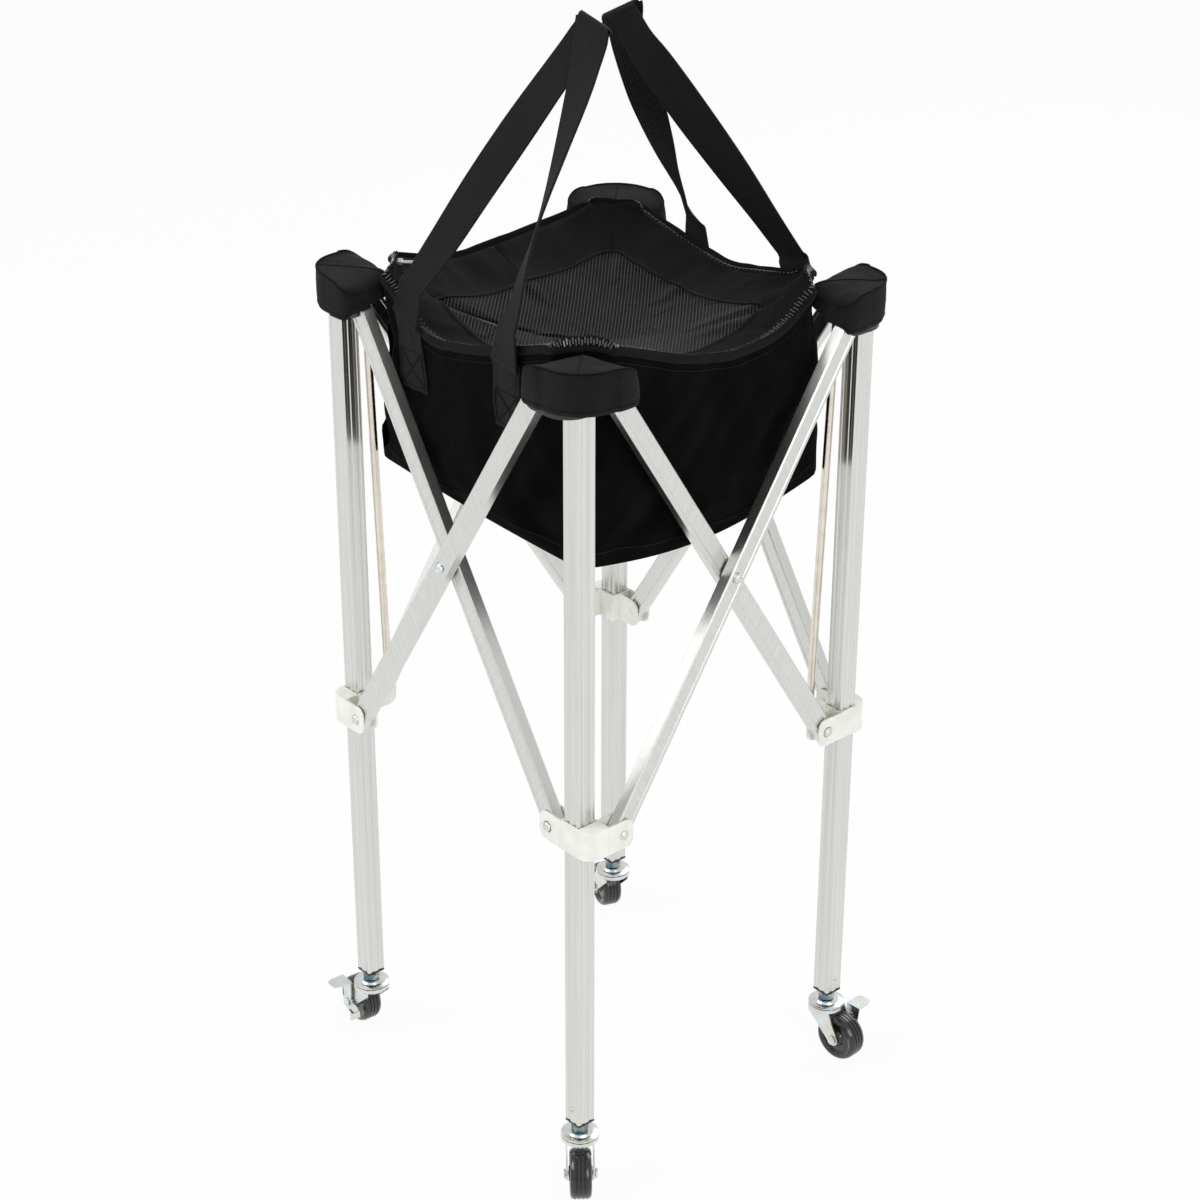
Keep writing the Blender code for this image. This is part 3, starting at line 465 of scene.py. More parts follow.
def net_thread(name, colour):
    finish = Finish(name, Sheen_Weight=0.2, Specular_IOR_Level=0.4)
    fuzz = finish.noise(finish.place((800, 800, 800)), 1.0, 3.0)
    tone = finish.mixed(fuzz.stepped(0.35, 0.7), shade(colour, 0.7), shade(colour, 1.5))
    return finish.set(Base_Color=tone, Roughness=0.5 + fuzz * 0.3, Normal=finish.bump(fuzz, 0.3, 0.0003))


def chosen(name):
    """A colour of the panel."""
    return tuple(getattr(bpy.context.scene.basket_colours, name))


def linked(thing):
    bpy.context.scene.collection.objects.link(thing)
    return thing


def piece(name, bm, finish, body, slot, sharp=35, outward=False):
    """A finished piece from its bmesh, with its place in its mesh, riding on a body."""
    if outward:
        bmesh.ops.recalc_face_normals(bm, faces=bm.faces)
    mesh = bpy.data.meshes.new(name)
    bm.to_mesh(mesh)
    bm.free()
    mesh.shade_smooth()
    mesh.set_sharp_from_angle(angle=math.radians(sharp))
    mesh.materials.clear()
    mesh.materials.append(finish)
    made = linked(bpy.data.objects.new(name, mesh))
    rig.slot(made, slot)
    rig.ride(made, body)
    return made


def thickened(thing, thickness, offset=-1.0):
    wall = thing.modifiers.new("thickness", "SOLIDIFY")
    wall.thickness = thickness
    wall.offset = offset
    return thing


def rounded(thing, width, segments=2):
    edge = thing.modifiers.new("edge", "BEVEL")
    edge.width = width
    edge.segments = segments
    edge.limit_method = "ANGLE"
    edge.angle_limit = math.radians(32)
    edge.use_clamp_overlap = True
    return thing


def redressed(name, finish, edge, segments=2):
    """A CAD node with its own finish and its sharp edges broken."""
    node = frame["nodes"][name]
    node.data.materials.clear()
    node.data.materials.append(finish)
    weld = node.modifiers.new("weld", "WELD")
    weld.merge_threshold = 0.00001
    return rounded(node, edge, segments)


def folds(thing, side):
    """The cloth of one side crumples towards the leg that the frame folds to."""
    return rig.squash(thing, "fold", axis=FOLD_AXIS[side], anchor=FOLD_ANCHOR, keep=FOLDED_SHARE)


def surface(columns, rows, place, size, wrapped=False):
    """A grid whose point at (across, along), each from 0 to 1, goes where place says; its map is in metres."""
    bm = bmesh.new()
    bmesh.ops.create_grid(bm, x_segments=columns, y_segments=rows, size=0.5)
    chart = bm.loops.layers.uv.new("UVMap")
    rows_up = bm.verts.layers.float.new("up")
    for face in bm.faces:
        for loop in face.loops:
            across, along = loop.vert.co.x + 0.5, loop.vert.co.y + 0.5
            loop[chart].uv = (across * size[0], along * size[1])
    for vert in bm.verts:
        vert[rows_up] = vert.co.y + 0.5
        vert.co = place(vert.co.x + 0.5, vert.co.y + 0.5)
    if wrapped:
        bmesh.ops.remove_doubles(bm, verts=bm.verts, dist=2e-5)
    return bm


def spun(profile, steps, matrix):
    """A turned shape from (radius, height) points about Z, placed by a matrix, with its poles closed."""
    bm = bmesh.new()
    verts = [bm.verts.new((radius, 0, height)) for radius, height in profile]
    edges = [bm.edges.new(pair) for pair in zip(verts, verts[1:])]
    if profile[0][0] > 0:
        edges.append(bm.edges.new((verts[-1], verts[0])))
    bmesh.ops.spin(
        bm, geom=verts + edges, cent=(0, 0, 0), axis=(0, 0, 1), angle=2 * math.pi, steps=steps, use_merge=True
    )
    bmesh.ops.remove_doubles(bm, verts=bm.verts, dist=1e-6)
    bmesh.ops.recalc_face_normals(bm, faces=bm.faces)
    bmesh.ops.transform(bm, matrix=matrix, verts=bm.verts)
    return bm


def joined(parts):
    """Several bmeshes as one."""
    whole = bmesh.new()
    for part in parts:
        mesh = bpy.data.meshes.new("part")
        part.to_mesh(mesh)
        part.free()
        whole.from_mesh(mesh)
        bpy.data.meshes.remove(mesh)
    return whole


def side_turn(side):
    return Matrix.Rotation(QUARTER * SIDES.index(side), 4, "Z")


def corner_spot(corner):
    return Matrix.Rotation(QUARTER * CORNERS.index(corner), 4, "Z") @ Vector((HALF, -HALF, 0))


def smooth_path(points, count):
    """Points along a Catmull-Rom curve through the given ones, evenly shared between them."""
    points = [Vector(point) for point in points]
    padded = [2 * points[0] - points[1]] + points + [2 * points[-1] - points[-2]]
    spread = []
    for i in range(count + 1):
        along = i / count * (len(points) - 1)
        k = min(int(along), len(points) - 2)
        t = along - k
        a, b, c, d = padded[k : k + 4]
        spread.append(
            0.5 * (2 * b + (c - a) * t + (2 * a - 5 * b + 4 * c - d) * t**2 + (3 * b - a - 3 * c + d) * t**3)
        )
    return spread


def rim_run(inset=0.0):
    """Half the straight part of a side's rim, the length of half a corner's arc, and the angle it starts at."""
    reach = BAG_ARC + inset
    lean = math.asin((HALF - (BAG_HALF - inset)) / reach)
    return HALF - reach * math.cos(lean), reach * (QUARTER / 2 - lean), lean


def edge_point(side, share, inset):
    """Plan of the bag's top edge along one side, from the middle of one corner's arc to the next one's."""
    reach = BAG_ARC + inset
    end, arc, lean = rim_run(inset)
    along = (share - 0.5) * 2 * (end + arc)
    if abs(along) <= end:
        x, y = along, inset - BAG_HALF
    else:
        angle = math.pi - lean - (abs(along) - end) / reach
        x = math.copysign(HALF + reach * math.cos(angle), along)
        y = -HALF + reach * math.sin(angle)
    return side_turn(side).to_3x3() @ Vector((x, y, 0))


def rim_height(side, share):
    """Height of the rim, which hangs between the corner pockets and is drawn up by the handles."""
    straight, arc, _ = rim_run()
    along = (share - 0.5) * 2 * (straight + arc) / straight
    heights = []
    for step in range(-3, 4):
        spot = max(-1.0, min(1.0, along + step * 0.045))
        for (start, low), (end, high) in zip(RIM_SHAPE[side], RIM_SHAPE[side][1:]):
            if spot <= end:
                heights.append(low + (high - low) * (spot - start) / (end - start))
                break
    return sum(heights) / len(heights)


def corner_turn(share):
    """0 along the straight of a side, and 1 round its corners."""
    straight, arc, _ = rim_run()
    along = abs(share - 0.5) * 2 * (straight + arc)
    turn = max(0.0, min(1.0, (along - straight + 0.012) / (arc * 0.8)))
    return turn * turn * (3 - 2 * turn)


def round_square(side, share, half, radius):
    """Plan of a square with round corners along one side, from the middle of one corner to the next one's."""
    straight = half - radius
    arc = radius * QUARTER / 2
    along = (share - 0.5) * 2 * (straight + arc)
    if abs(along) <= straight:
        x, y = along, -half
    else:
        angle = -QUARTER + (abs(along) - straight) / radius
        x = math.copysign(straight + radius * math.cos(angle), along)
        y = -straight + radius * math.sin(angle)
    return side_turn(side).to_3x3() @ Vector((x, y, 0))


def floor_point(side, share):
    return round_square(side, share, FLOOR_HALF, FLOOR_ROUND)


def window_point(side, share, half=WINDOW_HALF):
    return round_square(side, share, half, WINDOW_ROUND)


def side_and_share(around):
    """Which side a share of the whole way round falls on, and how far along that side."""
    index = min(3, int(around * 4 + 1e-9))
    return SIDES[index], min(1.0, max(0.0, around * 4 - index))


def floor_height(side, share):
    """Height of the floor's edge, which sags between the bag's lower corners."""
    index = SIDES.index(side)
    left, right = FLOOR_CORNER_Z[CORNERS[index - 1]], FLOOR_CORNER_Z[CORNERS[index]]
    return left + (right - left) * share - FLOOR_SAG[side] * math.sin(math.pi * share)


def zip_line(side, share, across):
    """A point of the zip's tape, which lies flat along the sides and stands up round the corners."""
    tilt = ZIP_LIE + (ZIP_STAND - ZIP_LIE) * corner_turn(share)
    spot = edge_point(side, share, 0.0010 + across * math.cos(tilt))
    ripple = 0.0007 * noise.noise(Vector((spot.x * 35, spot.y * 35, 3.0)))
    spot.z = rim_height(side, share) + 0.0006 + across * math.sin(tilt) + ripple
    return spot


def tube(line, wide, high, sides=8):
    """A thin rounded strip along a line of points, with its ends closed."""
    count = len(line) - 1

    def place(around, along):
        i = min(count, round(along * count))
        ahead = (line[min(count, i + 1)] - line[max(0, i - 1)]).normalized()
        out = ahead.cross(Vector((0, 0, 1)))
        out = out.normalized() if out.length > 0.05 else Vector((1, 0, 0))
        up = out.cross(ahead).normalized()
        angle = 2 * math.pi * around
        return line[i] + out * (wide * math.cos(angle)) + up * (high * math.sin(angle))

    bm = surface(sides, count, place, (0.006, 0.22), wrapped=True)
    bmesh.ops.holes_fill(bm, edges=[edge for edge in bm.edges if edge.is_boundary], sides=0)
    bmesh.ops.recalc_face_normals(bm, faces=bm.faces)
    return bm


def settled(name, bm, held, frames, slack):
    """The cloth after it has hung under its weight from its held rows, as a bmesh."""
    mesh = bpy.data.meshes.new(name)
    bm.to_mesh(mesh)
    bm.free()
    after = bmesh.new()
    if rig.quick():
        after.from_mesh(mesh)
        return after
    hung = linked(bpy.data.objects.new(name, mesh))
    pins = hung.vertex_groups.new(name="pins")
    for index, row in enumerate(mesh.attributes["up"].data):
        pins.add([index], held(row.value), "REPLACE")
    cloth = hung.modifiers.new("cloth", "CLOTH")
    cloth.settings.vertex_group_mass = "pins"
    cloth.settings.quality = 8
    cloth.settings.mass = 0.02
    cloth.settings.tension_stiffness = 40
    cloth.settings.compression_stiffness = 40
    cloth.settings.shear_stiffness = 15
    cloth.settings.bending_stiffness = 0.5
    cloth.settings.shrink_min = -slack
    cloth.collision_settings.use_collision = False
    cloth.point_cache.frame_start = 1
    cloth.point_cache.frame_end = frames
    for step in range(1, frames + 1):
        bpy.context.scene.frame_set(step)
    graph = bpy.context.evaluated_depsgraph_get()
    final = bpy.data.meshes.new_from_object(hung.evaluated_get(graph))
    after.from_mesh(final)
    bpy.data.objects.remove(hung, do_unlink=True)
    bpy.context.scene.frame_set(1)
    return after


def kept_part(whole, cuts):
    """A copy of a bmesh with what lies beyond each plane cut off. Each plane is (point, normal)."""
    part = whole.copy()
    for point, normal in cuts:
        geom = part.verts[:] + part.edges[:] + part.faces[:]
        bmesh.ops.bisect_plane(part, geom=geom, dist=1e-6, plane_co=point, plane_no=normal, clear_outer=True)
    return part


def quarter_cuts(side):
    """The planes through two opposite corners that bound one side's share of the bag."""
    turn = side_turn(side).to_3x3()
    return [((0, 0, 0), turn @ Vector((1, 1, 0))), ((0, 0, 0), turn @ Vector((-1, 1, 0)))]


def area_of(thing):
    return sum(face.area for face in thing.data.polygons)


def colour_of(name, description, *parts):
    return FloatVectorProperty(name=name, description=description, subtype="COLOR", default=parts)


class BasketSizes(bpy.types.PropertyGroup):
    cloth_slack: FloatProperty(
        name="Bag slack", description="How much longer the bag's cloth is than its pattern", default=0.008
    )
    lid_slack: FloatProperty(
        name="Lid slack", description="How much longer the lid's cloth is than its pattern", default=0.008
    )
    net_cells: IntProperty(name="Net cells", description="Cells along one edge of the lid's net", default=50)
    net_thread: FloatProperty(
        name="Net thread", description="Thickness of the net's thread", default=0.0011, unit="LENGTH"
    )
    tooth_pitch: FloatProperty(
        name="Tooth pitch", description="Distance from one zip tooth to the next", default=0.0028, unit="LENGTH"
    )
    ribs: IntProperty(name="Handle ribs", description="Ribs across a handle's webbing", default=13)


class BasketColours(bpy.types.PropertyGroup):
    aluminium: colour_of("Aluminium", "Anodised legs and bars", 0.73, 0.73, 0.705)
    zinc: colour_of("Zinc", "Plated casters and bolts", 0.66, 0.72, 0.74)
    nylon: colour_of("Nylon", "Sliders", 0.89, 0.875, 0.81)
    plastic: colour_of("Plastic", "Top brackets and plugs", 0.016, 0.016, 0.017)
    wheel: colour_of("Wheel", "Moulded wheels", 0.012, 0.011, 0.011)
    cloth: colour_of("Cloth", "Bag, lid frame and pockets", 0.0104, 0.0088, 0.0086)
    webbing: colour_of("Webbing", "Handles", 0.0070, 0.0070, 0.0071)
    net: colour_of("Net", "Lid window", 0.024, 0.0235, 0.023)


class BASKET_OT_stage(bpy.types.Operator):
    """Put the basket on a pale floor under soft light, seen from above one corner"""

    bl_idname = "basket.stage"
    bl_label = "Stage"

    camera_place = (1.76673, -1.53327, 1.68551)
    camera_turn = (1.10776, -0.00253, 0.85674)
    focal_length = 80.17
    floor_size = 30.0
    floor_glow = 0.93
    room_colour = (0.93, 0.96, 1.0, 1)
    room_strength = 0.52

    def execute(self, context):
        scene = context.scene
        lens = bpy.data.cameras.new("camera")
        lens.lens = self.focal_length
        lens.sensor_width = 36.0
        camera = linked(bpy.data.objects.new("camera", lens))
        camera.location = self.camera_place
        camera.rotation_euler = self.camera_turn
        scene.camera = camera
        scene.view_settings.view_transform = "Standard"
        self.floor()
        self.world(scene)
        self.lamp("key", (-1.5, -3.0, 3.2), 2.4, 84)
        self.lamp("fill", (3.6, -0.6, 2.2), 2.6, 58)
        self.lamp("back", (-0.6, 3.2, 2.8), 2.6, 48)
        return {"FINISHED"}

    def floor(self):
        bm = bmesh.new()
        bmesh.ops.create_grid(bm, x_segments=2, y_segments=2, size=self.floor_size / 2)
        mesh = bpy.data.meshes.new("floor")
        bm.to_mesh(mesh)
        bm.free()
        finish = Finish("pale_floor")
        finish.set(Base_Color=(0.86, 0.86, 0.855, 1), Roughness=0.9)
        values = {"Color": (1, 1, 1, 1), "Strength": 1.0}
        glow = finish.node("ShaderNodeEmission", values=values, output="Emission")
        plain = Wire(finish, finish.shader.outputs["BSDF"])
        finish.blend_for_eye(self.floor_glow, plain, glow, "Material Output")
        mesh.materials.append(finish.material)
        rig.stage(linked(bpy.data.objects.new("floor", mesh)))

    def world(self, scene):
        scene.world = bpy.data.worlds.new("pale_room")
        nodes = Nodes(scene.world)
        room = nodes.tree.nodes["Background"]
        room.inputs["Color"].default_value = self.room_colour
        room.inputs["Strength"].default_value = self.room_strength
        white = nodes.node("ShaderNodeBackground", values={"Strength": 1.0}, output="Background")
        nodes.blend_for_eye(1.0, Wire(nodes, room.outputs["Background"]), white, "World Output")

    def lamp(self, name, place, size, power):
        light = bpy.data.lights.new(name, "AREA")
        light.shape = "DISK"
        light.size = size
        light.energy = power
        lamp = linked(bpy.data.objects.new(name, light))
        lamp.location = place
        aim = Vector((0, 0, 0.55)) - Vector(place)
        lamp.rotation_euler = aim.to_track_quat("-Z", "Y").to_euler()


class BASKET_OT_frame_finish(bpy.types.Operator):
    """Finish the legs, bars, sliders, brackets, rods, plugs and forks, and break their sharp edges"""

    bl_idname = "basket.frame_finish"
    bl_label = "Frame finish"

    def execute(self, context):
        aluminium = chosen("aluminium")
        leg = extruded_metal("leg_aluminium", aluminium)
        slanted = {}
        for side, axis in (("front", 1), ("right", 0), ("back", 1), ("left", 0)):
            for kind, sign in (("inner", 1), ("outer", -1)):
                lean = (QUARTER - BAR_SLOPE) * sign * (-1 if side in ("front", "left") else 1)
                turn = [0.0, 0.0, 0.0]
                turn[axis] = lean
                slanted[kind, side] = extruded_metal(f"{kind}_bar_{side}_aluminium", aluminium, turn)
        nylon = moulded("white_nylon", chosen("nylon"), 0.42, Subsurface_Weight=0.12, Subsurface_Scale=0.004)
        plastic = moulded("black_plastic", chosen("plastic"), 0.38)
        zinc = plated_metal("zinc_plate", chosen("zinc"))
        # The stop rods' warm brown tint is a painted reflection of the warm surroundings that the polished rods mirror.
        rod = plated_metal("polished_rod", (0.74, 0.69, 0.62), 0.10)
        for corner in CORNERS:
            self.dress("leg_" + corner, leg, 0.0003)
            self.dress("top_bracket_" + corner, plastic, 0.0005)
            self.dress("slider_" + corner, nylon, 0.0006)
            self.dress("leg_plug_" + corner, plastic, 0.0003)
            self.dress("caster_fork_" + corner, zinc, 0.0004)
            self.dress("caster_axle_" + corner, zinc, 0.0005)
        for corner in ("r", "l"):
            self.dress("brake_lever_" + corner, zinc, 0.0004)
            self.dress("stop_rod_" + corner, rod, 0.0005)
        for side in SIDES:
            for kind in ("inner", "outer"):
                self.dress(f"{kind}_bar_{side}", slanted[kind, side], 0.0003)
            self.dress("cross_bolt_" + side, zinc, 0.0003)
        return {"FINISHED"}

    def dress(self, name, finish, edge):
        smooth = redressed(name, finish, edge).modifiers.new("normals", "WEIGHTED_NORMAL")
        smooth.keep_sharp = False


class BASKET_OT_bolts(bpy.types.Operator):
    """Add the socket heads of the lug bolts and cross bolts, and the small screws near the leg bottoms"""

    bl_idname = "basket.bolts"
    bl_label = "Bolts"

    head = [(0.0, 0.0009), (0.0020, 0.0009), (0.0023, 0.0024), (0.0034, 0.0023), (0.0044, 0.0016)]
    head += [(0.0049, 0.0006), (0.0049, 0.0), (0.0056, 0.0), (0.0056, -0.0004), (0.0, -0.0004)]

    def execute(self, context):
        self.finish = plated_metal("bolt_zinc", chosen("zinc"), 0.24)
        cheek = BAR_HALF_THICKNESS + CHEEK_OUT
        for index, side in enumerate(SIDES):
            left, right = CORNERS[index - 1], CORNERS[index]
            inner, outer = INNER_BAR_OUT + cheek, OUTER_BAR_OUT + cheek
            bolts = (
                ("top", "inner", -PIN_ALONG, inner, TOP_PIN_Z, "leg_" + left),
                ("top", "outer", PIN_ALONG, outer, TOP_PIN_Z, "leg_" + right),
                ("low", "inner", PIN_ALONG, inner, SLIDER_PIN_Z, "slider_" + right),
                ("low", "outer", -PIN_ALONG, outer, SLIDER_PIN_Z, "slider_" + left),
            )
            for end, bar, along, out, height, body in bolts:
                self.bolt(f"{end}_bolt_{side}_{bar}", side, along, out, height, body)
            middle = (TOP_PIN_Z + SLIDER_PIN_Z) / 2
            out = OUTER_BAR_OUT + BAR_HALF_THICKNESS
            self.bolt("cross_head_" + side, side, 0, out, middle, "inner_bar_" + side)
        self.leg_screws()
        return {"FINISHED"}

    def bolt(self, name, side, along, out, height, body):
        place = Matrix.Translation((along, -HALF - out, height)) @ Matrix.Rotation(QUARTER, 4, "X")
        bm = spun(self.head, 20, side_turn(side) @ place)
        piece(name, bm, self.finish, body, "zinc")

    def leg_screws(self):
        """One small screw low on the outer left face of each leg holds its plug."""
        for index, corner in enumerate(CORNERS):
            turn = Matrix.Rotation(QUARTER * index, 4, "Z")
            spot = Matrix.Translation((HALF, -HALF - LEG_HALF_WIDTH, 0.0895)) @ Matrix.Rotation(QUARTER, 4, "X")
            small = [(radius * 0.42, height * 0.5) for radius, height in self.head]
            piece("leg_screw_" + corner, spun(small, 14, turn @ spot), self.finish, "leg_" + corner, "zinc")


class BASKET_OT_casters(bpy.types.Operator):
    """Replace the casters' wheels and stems with grooved wheels, raceways, hex nuts and threads"""

    bl_idname = "basket.casters"
    bl_label = "Casters"

    tread = 0.025
    half_width = 0.011
    thread_start = 0.0600
    thread_pitch = 0.0009
    thread_turns = 14
    nut_radius = 0.0086

    def execute(self, context):
        rubber = moulded("wheel_black", chosen("wheel"), 0.20, Coat_Weight=0.35, Coat_Roughness=0.12)
        zinc = plated_metal("raceway_zinc", chosen("zinc"), 0.16)
        nut = plated_metal("nut_zinc", (0.10, 0.20, 0.23), 0.30)
        for corner in CORNERS:
            low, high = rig.box("caster_wheel_" + corner)
            centre = (Vector(low) + Vector(high)) / 2
            spot = corner_spot(corner)
            heading = math.atan2(centre.y - spot.y, centre.x - spot.x)
            axle = Matrix.Rotation(heading, 4, "Z") @ Matrix.Rotation(QUARTER, 4, "X")
            shape = spun(self.wheel_profile(), 56, Matrix.Translation((centre.x, centre.y, self.tread)) @ axle)
            wheel = piece("wheel_" + corner, shape, rubber, "wheel_" + corner, "wheel_black", 25)
            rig.replaces(wheel, "caster_wheel_" + corner)
            self.stem(corner, spot, zinc, nut)
        return {"FINISHED"}

    def wheel_profile(self):
        """Half of the section from the bore to the middle of the tread, then its mirror image."""
        half, tread = self.half_width, self.tread
        section = [(0.0034, half + 0.0006), (0.0070, half + 0.0006), (0.0078, half - 0.0002)]
        section += [(0.0095, half - 0.0030), (0.0165, half - 0.0034), (0.0178, half - 0.0014)]
        section += [(tread - 0.0040, half - 0.0004), (tread - 0.0020, half - 0.0012)]
        section += [(tread - 0.0006, half - 0.0030), (tread, half - 0.0050)]
        for middle in (0.0040, 0.0):
            section += [(tread, middle + 0.0008), (tread - 0.0008, middle + 0.0004)]
            if middle:
                section += [(tread - 0.0008, middle - 0.0004), (tread, middle - 0.0008)]
        return section + [(radius, -height) for radius, height in reversed(section)]

    def stem(self, corner, spot, zinc, nut):
        """Raceway, hexagon nut and threaded stem above the fork, and the king pin's rivet under it."""
        low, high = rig.box("caster_stem_" + corner)
        place = Matrix.Translation((spot.x, spot.y, 0))
        race = [(0.0, 0.0566), (0.0150, 0.0566), (0.0150, 0.0571), (0.0180, 0.0571), (0.0187, 0.0577)]
        race += [(0.0186, 0.0585), (0.0165, 0.0596), (0.0128, 0.0600), (0.0112, 0.0618), (0.0, 0.0618)]
        rivet = [(0.0, low[2]), (0.0045, low[2]), (0.0058, low[2] + 0.0010), (0.0060, 0.0509), (0.0039, 0.0509)]
        rivet += [(0.0039, 0.0568), (0.0, 0.0568)]
        parts = [spun(race, 40, place), spun(rivet, 20, place)]
        ring = piece("raceway_" + corner, joined(parts), zinc, "leg_" + corner, "zinc")
        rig.replaces(ring, "caster_stem_" + corner)
        thread = [(0.0, self.thread_start)]
        for step in range(self.thread_turns):
            height = self.thread_start + step * self.thread_pitch
            thread += [(0.0050, height), (0.0045, height + self.thread_pitch / 2)]
        thread += [(0.0047, high[2] - 0.001), (0.0, high[2])]
        screw = piece("stem_" + corner, spun(thread, 20, place), zinc, "leg_" + corner, "zinc")
        rounded(screw, 0.0001, 1)
        body = bmesh.new()
        place = place @ Matrix.Translation((0, 0, 0.0659)) @ Matrix.Rotation(0.3, 4, "Z")
        sizes = {"radius1": self.nut_radius, "radius2": self.nut_radius, "depth": 0.0072}
        bmesh.ops.create_cone(body, cap_ends=True, segments=6, matrix=place, **sizes)
        rounded(piece("nut_" + corner, body, nut, "leg_" + corner, "zinc"), 0.0007, 3)


class BASKET_OT_bag(bpy.types.Operator):
    """Hang the bag's cloth from its rim, in four side panels that crumple with the folding frame"""

    bl_idname = "basket.bag"
    bl_label = "Bag"

    columns = 152
    floor_rows = 12
    wall_rows = 34
    wall_limit = 0.1612
    crease_depth = 0.0080
    wall_belly = 0.0020
    seam_heights = (("hem_seam", 0.013, 0.0007), ("rim_seam", -0.010, 0.0005))

    def execute(self, context):
        # The walls take the cloth colour at a third of its brightness: painted shade on the hanging walls, beside the
        # lighter copy on the pockets.
        finish = woven("bag_cloth", shade(chosen("cloth"), 0.32), gloss=0.35)
        thread = woven("seam_thread", shade(chosen("cloth"), 0.6), 0.0004)
        rows = self.floor_rows + self.wall_rows
        self.border = self.floor_rows / rows
        bm = surface(self.columns, rows, self.place, (1.21, 0.36), wrapped=True)
        bag = settled("bag_pattern", bm, self.held, 24, context.scene.basket_sizes.cloth_slack)
        for vert in bag.verts:
            for axis in (0, 1):
                vert.co[axis] = max(-self.wall_limit, min(self.wall_limit, vert.co[axis]))
        SETTLED["bag"] = BVHTree.FromBMesh(bag)
        for side in SIDES:
            body = SIDE_BODY[side]
            panel = piece("bag_" + side, kept_part(bag, quarter_cuts(side)), finish, body, "black_cloth", 50)
            panel_area = area_of(panel)
            thickened(panel, CLOTH)
            folds(panel, side)
            if side == "front":
                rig.replaces(panel, "bag_body")
            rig.sheet(panel, flat=(0.36, 0.37), held="hung", area=round(panel_area, 3))
            for name, rise, radius in self.seam_heights:
                line = [self.on_wall(side, 0.04 + 0.92 * step / 70, rise) for step in range(71)]
                seam = piece(f"{name}_{side}", tube(line, radius, radius), thread, body, "black_cloth", 60)
                folds(seam, side)
        bag.free()
        return {"FINISHED"}

    def held(self, up):
        """The rim is held by its zip, and the floor's edge by its stiff seam."""
        return 1.0 if up > 0.9999 or abs(up - self.border) < 1e-4 else 0.0

    def place(self, around, up):
        side, share = side_and_share(around)
        low = floor_point(side, share)
        low.z = floor_height(side, share)
        if up < self.border:
            out = up / self.border
            return Vector((low.x * out, low.y * out, FLOOR_MIDDLE_Z + (low.z - FLOOR_MIDDLE_Z) * out**2))
        level = (up - self.border) / (1 - self.border)
        top = edge_point(side, share, CLOTH)
        top.z = rim_height(side, share)
        spot = low.lerp(top, level)
        spot.xy = low.xy.lerp(top.xy, level**3)
        slack = math.sin(math.pi * level)
        run = around * 1.25
        creases = noise.noise(Vector(((run + spot.z) * 22, (run - spot.z) * 9, 1.0)))
        creases += noise.noise(Vector(((run - spot.z) * 26, (run + spot.z) * 8, 4.0)))
        inward = Vector((spot.x, spot.y, 0)).normalized()
        return spot + inward * (creases * self.crease_depth - self.wall_belly) * slack

    def on_wall(self, side, share, rise):
        """A point on the wall's outer face, a rise above the floor's edge or, if negative, below the rim."""
        low, top = floor_point(side, share), edge_point(side, share, 0)
        height = floor_height(side, share) + rise if rise > 0 else rim_height(side, share) + rise
        guess = low.lerp(top, 0.1 if rise > 0 else 0.95)
        out = Vector((guess.x, guess.y, 0)).normalized()
        start = Vector((guess.x, guess.y, height)) + out * 0.08
        hit, normal = SETTLED["bag"].ray_cast(start, -out)[:2]
        return hit + normal * math.copysign(0.0002, normal.dot(out)) if hit else start - out * 0.08


